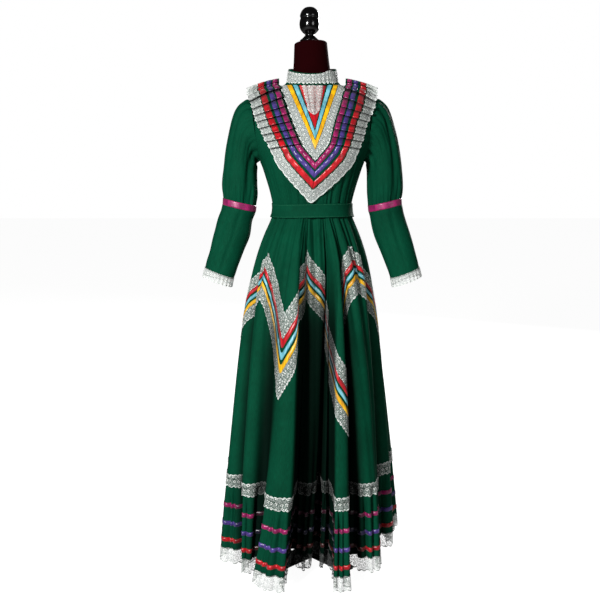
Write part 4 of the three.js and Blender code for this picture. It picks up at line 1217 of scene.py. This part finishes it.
@dataclass
class SkirtShape:
    """The hanging cloth of skirt and flounce: a place for each column t of the folds and nominal height z.

    Args:
        folds: the folds, round from the wearer's right.
        waist_z: height of the waist; hip_z, seam_z and hem_z are those of the hip, the flounce's seam and
            the hem.
        waist: half-width and depths of the waist.
        bulge: how far a fold's face rounds out between its edges.
        sharp: the folds with a sharp edge, and which.
        flutes: gathers below the belt, with its puckers; the flounce has its own.
    """

    folds: tuple[Fold, ...] = tuple(Fold(*row) for row in (
        ("left_side", -84, -75, -74, -57, 286, -53, -53, 186, 30, 1.2, 0.57),
        ("left_front", -57, -49, -48, -39, 285, -37, -37, 210, 34, 1.0, 0.5),
        ("big_left", -22, -10, -37, -13.5, 306, -24, -22, 150, 22, 2.6, 0.5),
        ("sunk_middle", -8, 18.6, -16, 0, 172, 0, 12, 92, 26, 1, 0.5),
        ("sunk_right", 20.2, 21.4, 7, 13, 166, 19, 19, 138, 30, 1, 0.5),
        ("big_right", 22, 28, 10.5, 23, 297, 22, 28, 165, 18, 0.6, 0.5),
        ("right_front", 32, 58, 37, 52, 262, 57, 57, 200, 34, 0.8, 0.5),
        ("right_side", 74, 88, 63, 77, 249, 86, 86, 225, 66, 2.2, 0.5),
        ("right_back", 102, 116, 105, 120, 290, 133, 133, 208, 52, 2.2, 0.64),
        ("back_1", 132, 145, 143, 156, 288, 165, 165, 200, 40, 2.2, 0.6),
        ("back_2", 163, 177, 172, 187, 296, 195, 195, 190, 34, 2.2, 0.5),
        ("back_3", 194, 208, 203, 217, 286, 226, 226, 205, 38, 2.2, 0.5),
        ("back_4", 223, 236, 235, 246, 282, 252, 252, 210, 36, 2.2, 0.5),
        ("left_back", 250, 264, 258, 272, 276, 279, 279, 214, 33, 2.2, 0.55)))
    waist_z: float = 1045
    hip_z: float = 900
    seam_z: float = 270
    hem_z: float = 28
    waist: tuple[float, float, float] = (111, 88, 87)
    bulge: float = 7.0
    sharp: dict[str, str] = field(default_factory=lambda: {
        "big_left": "R", "big_right": "L", "left_front": "L"})
    flutes: Gathers = Gathers(31, 11.0, 7.5, 0.6, 35, 360, 0.25, 51)
    puckers: Gathers = Gathers(11, 2.6, 3.0, 1.0, 6, 80, 0.0, 52)
    flounce_flutes: Gathers = Gathers(34, 17.0, 8.5, 0.35, 80, 900, 1.0, 53)
    flounce_puckers: Gathers = Gathers(13, 2.2, 3.6, 1.0, 6, 70, 0.0, 54)

    def __post_init__(self) -> None:
        """Lay out the columns, measure the cloth round the hip and the hem, and make the painted shade table.
        """
        columns, bends, self.first = [], [], {}
        for i, fold in enumerate(self.folds):
            after = self.folds[(i + 1) % len(self.folds)]
            next_hip = after.hip_l + (360 if i + 1 == len(self.folds) else 0)
            self.first[fold.name] = len(columns)
            columns += [(hip, hem, fold.out, 0, fold.hem, fold.swing, fold.flare)
                        for hip, hem in ((fold.hip_l, fold.hem_l), (fold.hip_r, fold.hem_r))]
            bends += [0.18 if edge == self.sharp.get(fold.name) else 0.36 for edge in "LR"]
            out, low = (fold.out + after.out) / 2, (fold.hem + after.hem) / 2 + 10
            single = fold.valley_l == fold.valley_r
            valley = [(0.5, fold.valley_l)] if single else [(0.35, fold.valley_l), (0.65, fold.valley_r)]
            for share, hem in valley:
                columns.append((mix(fold.hip_r, next_hip, share), hem, out, out - fold.dip, low,
                                (fold.swing + after.swing) / 2, (fold.flare + after.flare) / 2))
                bends.append(0.5 if single else 0.42)
        self.columns, self.bends, self.count = np.array(columns, float), np.array(bends), len(columns)
        self.ridge = np.isin(np.arange(self.count), list(self.first.values()))
        self.fine = np.linspace(0, self.count, 3601)
        self.hip_along, self.hem_along = (lengths_along(self.place(self.fine, np.full_like(self.fine, z)))
                                          for z in (930, 100))
        self.levels = np.linspace(self.hem_z, self.waist_z, 44)
        # table of painted shade by height and column, darkest deep in the valleys
        self.painted_shades = np.array([self._shade_row(z) for z in self.levels])

    def _shade_row(self, z: float) -> Array:
        """Give the painted shade of each fine column at a height: more the deeper it lies below the folds
        beside it.
        """
        x, y, _ = self.place(self.fine, np.full_like(self.fine, z)).T
        radius = np.hypot(x, y)
        turn = np.round(np.degrees(np.arctan2(x, -y))).astype(int) % 360
        outer = np.zeros(360)
        np.maximum.at(outer, turn, radius)
        outer = np.max([np.roll(outer, k) for k in range(-13, 14)], axis=0)
        outer = np.mean([np.roll(outer, k) for k in range(-5, 6)], axis=0)[turn]
        return smoothstep((outer - radius) / outer, 0.02, 0.17) * smoothstep(self.down(z), 0.1, 0.34)

    def depth(self, t: Array, z: Array) -> Array:
        """Give the painted shade of the cloth, 0 on the folds and 1 in the deepest valleys."""
        t, z = np.broadcast_arrays(t, z)
        column = np.clip(t % self.count / self.count * (len(self.fine) - 1), 0, len(self.fine) - 1.001)
        row = np.clip((z - self.levels[0]) / (self.levels[1] - self.levels[0]), 0, len(self.levels) - 1.001)
        i, j = row.astype(int), column.astype(int)
        above, below = (mix(self.painted_shades[k, j], self.painted_shades[k, j + 1], column - j) for k in (i, i + 1))
        return mix(above, below, row - i)

    def column_of(self, name: str, edge: str) -> int:
        """Give the column of a fold's left or right edge."""
        return self.first[name] + (edge == "R")

    def down(self, z: Numbers) -> Array:
        """Give the share of the way from the waist to the hem."""
        return np.clip((self.waist_z - z) / (self.waist_z - self.hem_z), 0, 1)

    def _column(self, index: Array) -> Array:
        """Give control columns by index, going on round past either end."""
        turn = np.floor_divide(index, self.count)
        values = self.columns[index % self.count].copy()
        values[..., 0:2] += 360.0 * turn[..., None]
        return values

    def attributes(self, t: Array) -> Array:
        """Read the columns' values at t: straight from column to column, with each corner rounded."""
        index = np.round(t).astype(int)
        s = (t - index)[..., None]
        here, before, after = self._column(index), self._column(index - 1), self._column(index + 1)
        bend = self.bends[index % self.count][..., None]
        straight = here + (np.where(s > 0, after, before) - here) * np.abs(s)
        u = (s + bend) / (2 * bend)
        a, b = mix(here, before, bend), mix(here, after, bend)
        curved = a * (1 - u) ** 2 + 2 * here * u * (1 - u) + b * u * u
        return np.where(np.abs(s) < bend, curved, straight)

    def place(self, t: Array, z: Array) -> Array:
        """Give the smooth cloth's outer face at columns t and nominal heights z."""
        hip, hem, out, sink, low, late, wide = np.moveaxis(self.attributes(t), -1, 0)
        down = self.down(z)
        swing = np.clip((self.hip_z - z) / (self.hip_z - self.hem_z), 0, 1) ** late
        azimuth = mix(hip, hem, swing)
        half, front, back = self.waist
        deep = np.where(cosine(azimuth) > 0, front, back)
        across, ahead = np.abs(sine(azimuth) / half), np.abs(cosine(azimuth) / deep)
        waist = (across**SQUARE + ahead**SQUARE) ** (-1 / SQUARE)
        flare = down**wide * (1 - np.exp(-down / 0.055)) ** 0.9
        radius = waist + (out - waist) * flare - sink * down**0.85 + self.swell(t) * down**0.7
        return xyz(radius * sine(azimuth), -radius * cosine(azimuth), z + (low - self.hem_z) * down)

    def swell(self, t: Array) -> Array:
        """Give how far the face of each fold rounds out between its two edges."""
        cell = np.floor(t).astype(int) % self.count
        return np.where(self.ridge[cell], self.bulge * np.sin(np.pi * (t - np.floor(t))) ** 2, 0.0)

    def normals(self, t: Array, z: Array) -> Array:
        """Give the smooth cloth's outward normals."""
        along = self.place(t + 0.03, z) - self.place(t - 0.03, z)
        return unit(np.cross(self.place(t, z - 2.0) - self.place(t, z + 2.0), along))

    def ripples(self, t: Array, z: Array) -> Array:
        """Give the gathers' moves: flutes from the belt, and the flounce's own from its seam."""
        hip, hem = (np.interp(t % self.count, self.fine, along) for along in (self.hip_along, self.hem_along))
        fall, below = self.waist_z - 12 - z, np.maximum(self.seam_z - z, 0)
        move = sum(part.offset(hip, fall, self.hip_along[-1]) for part in (self.flutes, self.puckers))
        lower = sum(part.offset(hem, below, self.hem_along[-1])
                    for part in (self.flounce_flutes, self.flounce_puckers))
        move = move * mix(1.0, 0.4, smoothstep(below, 0, 120)) + np.where(below > 0, lower, 0)
        slack = smoothstep(self.waist_z - z, 60, 220)
        move = move + 1.5 * slack * seeded_noise(hip / 34, z / 120, 9)
        sink = self.attributes(t)[..., 3]
        return move * mix(1.0, 0.45, np.clip(sink / 90, 0, 1))

    def cloth(self, t: Array, z: Array, lift: Numbers = 0.0) -> Array:
        """Give gathered cloth moved out by lift."""
        t, z = np.broadcast_arrays(t, z)
        return self.place(t, z) + self.normals(t, z) * (self.ripples(t, z) + lift)[..., None]

    def patch(self, t: Array, z: Array, lift: Numbers = 0.0, **more: object) -> Patch:
        """Build a patch of the cloth, with its painted shade and what more is known of it."""
        return Patch(self.cloth(t, z, lift), depth=self.depth(t, z), **more)


class Gore(Enum):
    """The skirt's and flounce's four gores, each from a fold's edge to another."""

    FRONT_RIGHT = ("front_right", ("left_side", "L", 0), ("sunk_middle", "R", 1))
    FRONT_LEFT = ("front_left", ("sunk_middle", "R", 1), ("right_side", "R", 1))
    BACK_LEFT = ("back_left", ("right_side", "R", 1), ("back_2", "R", 1))
    BACK_RIGHT = ("back_right", ("back_2", "R", 1), None)

    @property
    def label(self) -> str:
        """Its name in the pieces' names."""
        return self.value[0]

    def columns(self, shape: SkirtShape, per_column: int) -> Array:
        """Give places across the gore, so many to each of the shape's columns."""
        _, (name, edge, past), end = self.value
        first = shape.column_of(name, edge) + past
        last = shape.column_of(end[0], end[1]) + end[2] if end else shape.count
        return np.linspace(first, last, (last - first) * per_column + 1)


@dataclass
class Skirt:
    """The skirt's four gores, gathered into the belt."""

    shape: SkirtShape
    per_column: int = 18
    rows: int = 84

    def build(self) -> None:
        """Build the gores."""
        z = np.linspace(self.shape.waist_z - 0.3, self.shape.seam_z + 0.2, self.rows)[:, None]
        for gore in Gore:
            patch = self.shape.patch(gore.columns(self.shape, self.per_column), z)
            sew(f"skirt_{gore.label}_cloth", [patch], Stuff.POPLIN, [f"skirt_{gore.label}"],
                1.2)


@dataclass
class ZigzagTrim:
    """The zigzag band of ribbons between two laces, laid on the skirt from fold to fold.

    Args:
        shape: the cloth it lies on.
        corners: fold, edge and columns past it, height of the top line there and how far the stripes spread.
    """

    shape: SkirtShape
    corners: tuple[tuple[str, str, float, float, float], ...] = (
        ("left_back", "R", 0, 720, 1.5), ("left_side", "R", 0, 856, 1), ("left_front", "L", 0, 908, 1),
        ("left_front", "R", -0.3, 930, 1), ("left_front", "R", 0.2, 908, 1), ("big_left", "L", 0, 768, 1.8),
        ("big_left", "R", -0.12, 835, 1.62), ("big_left", "R", 0.1, 893, 1.12),
        ("sunk_middle", "L", -0.25, 940, 1), ("sunk_middle", "R", 0, 868, 1),
        ("sunk_right", "L", 0, 790, 1.15), ("big_right", "L", 0, 672, 1.35), ("big_right", "R", 0, 620, 1.42),
        ("right_front", "L", -0.1, 905, 1), ("right_front", "L", 0.6, 953, 1),
        ("right_front", "R", 0, 925, 1), ("right_side", "L", 0, 850, 1), ("right_side", "R", 0, 720, 1.5),
        ("right_back", "R", 0, 940, 1), ("back_1", "R", 0, 690, 1.5), ("back_2", "R", 0, 930, 1),
        ("back_3", "R", 0, 690, 1.5), ("back_4", "R", 0, 930, 1))
    columns: int = 2250

    def line(self, t: Array) -> tuple[Array, Array]:
        """Give the top line's height and the spread at columns t."""
        known = sorted((self.shape.column_of(fold, edge) + past, top, spread)
                       for fold, edge, past, top, spread in self.corners)
        count = self.shape.count
        known = [(known[-1][0] - count, *known[-1][1:]), *known, (known[0][0] + count, *known[0][1:])]
        columns, *values = zip(*known)
        return tuple(sum(np.interp(t + step, columns, value) for step in (-0.09, -0.03, 0.03, 0.09)) / 4
                     for value in values)

    def stripe(self, high: float, low: float, rows: int, lift: float, scallop: float = 0.0) -> Patch:
        """Build a stripe between two distances below the top line.

        Args:
            high: distance of its upper edge.
            low: distance of its lower edge.
            rows: rows across it.
            lift: how far it lies off the cloth.
            scallop: height of its lobes, below 0 on the upper edge and above 0 on the lower one.

        Returns:
            The stripe.
        """
        t = np.arange(self.columns) * self.shape.count / self.columns
        top, spread = self.line(t)
        ring = self.shape.place(t, top - (high if scallop < 0 else low) * spread)
        along = lengths_along(np.concatenate([ring, ring[:1]]))
        lobe = (lobes(along, 12.5)[:-1] - 0.4) * scallop
        share = np.linspace(0, 1, rows)[:, None]
        reach = mix(high + (lobe if scallop < 0 else 0), low + (lobe if scallop > 0 else 0), share)
        crimp = 0.5 * np.sin(along[:-1] / 7.0) * np.abs(share - 0.3) if scallop else 0
        rim = (share if scallop < 0 else 1 - share) * abs(low - high) if scallop else NO_RIM
        return self.shape.patch(t, top - reach * spread, lift + crimp, closed=True, rim=rim, along=along)

    def build(self) -> None:
        """Build the three ribbons and the two laces."""
        for name, node_name, high, low, rows, lift, kind, wall, scallop in (
            ("upper_lace", "lace_upper", 0, 37, 7, 1.6, Stuff.NET, 0, -5.0),
            ("scarlet", "ribbon_scarlet", 37, 51, 3, 1.9, Stuff.SCARLET, 0.4, 0),
            ("sky", "ribbon_sky", 58, 69, 3, 1.9, Stuff.SKY, 0.4, 0),
            ("gold", "ribbon_gold", 76, 89, 3, 1.9, Stuff.GOLD, 0.4, 0),
            ("lower_lace", "lace_lower", 89, 126, 7, 1.6, Stuff.NET, 0, 5.0),
        ):
            sew(f"zigzag_{name}_strip", [self.stripe(high, low, rows, lift, scallop)], kind,
                [f"zigzag_{node_name}"], wall)


@dataclass
class Flounce:
    """The flounce below the seam, with its ribbons, the lace over the seam and the lace at the hem."""

    shape: SkirtShape
    per_column: int = 26
    lace_per_column: int = 56
    cloth_hem: float = 65
    ribbons: tuple[tuple[str, float, float, Stuff], ...] = (
        ("magenta", 198, 186, Stuff.MAGENTA), ("violet", 146, 134, Stuff.VIOLET),
        ("scarlet", 98, 86, Stuff.SCARLET))

    def gores(self) -> None:
        """Build the flounce's cloth and its hem lace, gore by gore."""
        shape = self.shape
        round_hem = lengths_along(shape.place(shape.fine, np.full_like(shape.fine, shape.hem_z)))
        cloth_z = np.linspace(shape.seam_z - 0.2, self.cloth_hem, 26)[:, None]
        share = np.linspace(0, 1, 8)[:, None]
        hem_lobes = lobes(round_hem, 21)
        for gore in Gore:
            patch = shape.patch(gore.columns(shape, self.per_column), cloth_z)
            sew(f"flounce_{gore.label}_cloth", [patch], Stuff.POPLIN, [f"flounce_{gore.label}"],
                1.0)
            t = gore.columns(shape, self.lace_per_column)
            along, scallop = (np.interp(t, shape.fine, values) for values in (round_hem, hem_lobes))
            z = mix(self.cloth_hem + 3.5, shape.hem_z + 5 - 8 * scallop, share)
            wave = 2.0 * np.sin(along / 9.5 + 1.4 * np.sin(along / 47)) * share
            patch = shape.patch(t, z, 1.0 + wave, rim=(1 - share) * 42, along=along)
            sew(f"hem_lace_{gore.label}_frill", [patch], Stuff.NET, [f"hem_lace_{gore.label}"])

    def trims(self) -> None:
        """Build the three ribbons and the lace over the seam."""
        shape = self.shape
        t = np.arange(1800) * shape.count / 1800
        for name, top, bottom, kind in self.ribbons:
            patch = shape.patch(t, np.linspace(top, bottom, 3)[:, None], 1.2, closed=True)
            sew(f"flounce_{name}_strip", [patch], kind, [f"flounce_ribbon_{name}"], 0.4)
        t = np.arange(2250) * shape.count / 2250
        ring = shape.place(t, np.full_like(t, 260.0))
        along = lengths_along(np.concatenate([ring, ring[:1]]))
        lobe = lobes(along, 13)[:-1] - 0.5
        share = np.linspace(0, 1, 8)[:, None]
        wave = 0.7 * np.sin(along[:-1] / 6.0) * np.abs(share - 0.5) * 2
        patch = shape.patch(t, mix(284 + 4 * lobe, 249 - 5 * lobe, share), 2.4 + wave, closed=True,
                            rim=np.minimum(share, 1 - share) * 38, along=along)
        sew("seam_lace_strip", [patch], Stuff.NET, ["seam_lace"])

    def build(self) -> None:
        """Build the flounce and its trims."""
        self.gores()
        self.trims()


@dataclass
class Belt:
    """A plain band of the dress cloth over the waist seam, topstitched along both edges.

    Args:
        half: half-width, front and back depth of the waist.
        levels: heights across the band.
        grows: how far it stands off the waist at those heights.
        seams: heights of its rows of stitches.
    """

    half: tuple[float, float, float] = (111, 91, 88)
    levels: tuple[float, ...] = (1027, 1036, 1045, 1055, 1065)
    grows: tuple[float, ...] = (9.6, 6.6, 5.2, 4.5, 4.8)
    seams: tuple[float, float] = (1062.5, 1029.5)

    def grid(self, z: Array, azimuth: Array) -> Array:
        """Give points of the belt's outer face, with its slight creases."""
        grow = monotone(self.levels, self.grows, z) + 1.2 + 0.8 * seeded_noise(azimuth / 9, z / 12, 21)
        drift = 1.5 * sine(azimuth * 2 + 30)
        return xyz(*section(azimuth, *(size + grow for size in self.half)), z + drift)

    def build(self) -> None:
        """Build the band and its two rows of stitches."""
        azimuth = np.arange(300) * 1.2
        grid = self.grid(np.linspace(self.levels[-1], self.levels[0], 14)[:, None], azimuth)
        sew("belt_cloth", [Patch(grid, True)], Stuff.POPLIN, ["belt"], 1.2)
        Stitches("belt_topstitch", list(self.grid(np.array(self.seams)[:, None], azimuth))).build()


# ---------------------------------------------------------------- stitches
@dataclass
class Stitches:
    """Rows of topstitching: short raised threads set along closed lines by a Geometry Nodes tree.

    Args:
        name: the piece's name.
        lines: closed lines of points in mm.
        pitch: distance from stitch to stitch.
        length: length of a stitch; a real one has about 2.5, drawn longer so that it shows.
        thick: thickness of the thread, drawn thicker for the same reason.
    """

    name: str
    lines: list[Array]
    pitch: float = 4.2
    length: float = 2.9
    thick: float = 0.55

    def tree(self) -> bpy.types.NodeTree:
        """Build the tree: resample the line, set a thread on each point along it, realise them."""
        tree = bpy.data.node_groups.new("Topstitch", "GeometryNodeTree")
        face = tree.interface
        face.new_socket("Geometry", in_out="INPUT", socket_type="NodeSocketGeometry")
        for label in ("Pitch", "Stitch length", "Thread radius"):
            face.new_socket(label, in_out="INPUT", socket_type="NodeSocketFloat")
        face.new_socket("Geometry", in_out="OUTPUT", socket_type="NodeSocketGeometry")
        add = partial(node, tree)
        given = add("NodeGroupInput").outputs
        line = add("GeometryNodeMeshToCurve", Mesh=given["Geometry"])
        points = add("GeometryNodeResampleCurve", Curve=line, Length=given["Pitch"], mode="LENGTH")
        thread = add("GeometryNodeMeshCylinder", Vertices=6, Radius=given["Thread radius"],
                     Depth=given["Stitch length"])
        turn = add("FunctionNodeAlignRotationToVector", Vector=add("GeometryNodeInputTangent"), axis="Z")
        placed = add("GeometryNodeInstanceOnPoints", Points=points, Instance=thread, Rotation=turn)
        real = add("GeometryNodeRealizeInstances", Geometry=placed)
        add("NodeGroupOutput", add("GeometryNodeSetMaterial", Geometry=real, Material=stuff(Stuff.THREAD)))
        return tree

    def build(self) -> None:
        """Build the stitches as a plain mesh."""
        points, edges = np.concatenate(self.lines) * MM, []
        for line in self.lines:
            start, count = len(edges), len(line)
            edges += [(start + i, start + (i + 1) % count) for i in range(count)]
        mesh = bpy.data.meshes.new(self.name + "_lines")
        mesh.from_pydata(points.tolist(), edges, [])
        guide = add_object(self.name + "_guide", mesh)
        tree = self.tree()
        modifier = guide.modifiers.new("topstitch", "NODES")
        modifier.node_group = tree
        sockets = {item.name: item.identifier for item in tree.interface.items_tree if item.in_out == "INPUT"}
        sizes = {"Pitch": self.pitch, "Stitch length": self.length, "Thread radius": self.thick / 2}
        for label, size in sizes.items():
            modifier[sockets[label]] = size * MM
        graph = bpy.context.evaluated_depsgraph_get()
        done = bpy.data.meshes.new_from_object(guide.evaluated_get(graph))
        bpy.data.objects.remove(guide)
        dress(add_object(self.name, done), Stuff.THREAD, [])


# ---------------------------------------------------------------- the studio
@dataclass
class Studio:
    """A plain pale floor, soft lights and the camera.

    Args:
        eye: the camera's place in metres.
        tilt: how far it looks down, in degrees.
        lens: its focal length on a 36 mm sensor.
        ambient: how bright the pale room is as a light; it is seen at 1.
    """

    eye: tuple[float, float, float] = (-0.035, -2.42, 1.145)
    tilt: float = 8.53
    lens: float = 50.0
    ambient: float = 0.035

    def floor(self) -> None:
        """Lay a matt near-white floor."""
        bpy.ops.mesh.primitive_plane_add(size=40)
        plane = bpy.context.object
        plane.name = "studio_floor"
        made = new_material("Matt white studio floor")
        seen = node(made.node_tree, "LightPath").outputs["Is Camera Ray"]
        glow = node(made.node_tree, "MapRange", Value=seen, To_Min=0.0, To_Max=0.96)
        shaded(made, Base_Color=linear("8C8C8C"), Roughness=0.9, Specular_IOR_Level=0.1,
               Emission_Color=(1, 1, 1, 1), Emission_Strength=glow)
        plane.data.materials.append(made)

    def light(self, name: str, place: tuple[float, ...], aim: tuple[float, ...], size: float,
              power: float) -> None:
        """Hang a soft square light.

        Args:
            name: its name.
            place: where it hangs, in metres.
            aim: the point it faces.
            size: its side.
            power: its watts.
        """
        lamp = bpy.data.lights.new(name, "AREA")
        lamp.energy, lamp.size = power, size
        holder = add_object(name, lamp)
        x, y, z = (a - p for a, p in zip(aim, place))
        holder.rotation_euler = (math.atan2(math.hypot(x, y), -z), 0.0, math.atan2(-x, y))
        holder.location = place

    def room(self) -> None:
        """Make the pale room, seen white and lighting little."""
        world = bpy.data.worlds.new("Pale studio")
        world.use_nodes = True
        tree = world.node_tree
        seen = node(tree, "LightPath").outputs["Is Camera Ray"]
        level = node(tree, "MapRange", Value=seen, To_Min=self.ambient, To_Max=1.0)
        fill(tree, tree.nodes["Background"], {"Strength": level, "Color": (1, 1, 1, 1)})
        bpy.context.scene.world = world
        view = bpy.context.scene.view_settings
        view.view_transform, view.look = "Standard", "None"

    def camera(self) -> None:
        """Set up the camera."""
        camera = bpy.data.cameras.new("camera")
        camera.lens, camera.sensor_width = self.lens, 36.0
        holder = add_object("camera", camera)
        holder.location = self.eye
        holder.rotation_euler = (math.radians(90 - self.tilt), 0.0, 0.0)
        bpy.context.scene.camera = holder

    def build(self) -> None:
        """Build the stage."""
        self.floor()
        self.light("key", (-1.6, -3.1, 1.9), (0, 0, 0.7), 0.5, 175)
        self.light("fill", (2.2, -2.8, 1.8), (0, 0, 0.85), 1.2, 18)
        self.light("back", (1.6, 3.0, 2.2), (0, 0, 0.8), 1.2, 180)
        self.room()
        self.camera()


def main() -> None:
    """Build the form, then the dress from the neck down, then the stage."""
    logging.basicConfig(level=logging.INFO, format="%(message)s")
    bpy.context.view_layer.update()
    Studio().build()
    DressForm().build()
    bodice = Bodice()
    bodice.build()
    Collar().build()
    Bib(bodice).build()
    Ruffle(bodice).build()
    for label, side in (("right", -1), ("left", 1)):
        Sleeve(label, side, bodice).build()
    shape = SkirtShape()
    Skirt(shape).build()
    ZigzagTrim(shape).build()
    Flounce(shape).build()
    Belt().build()


if __name__ == "__main__":
    main()
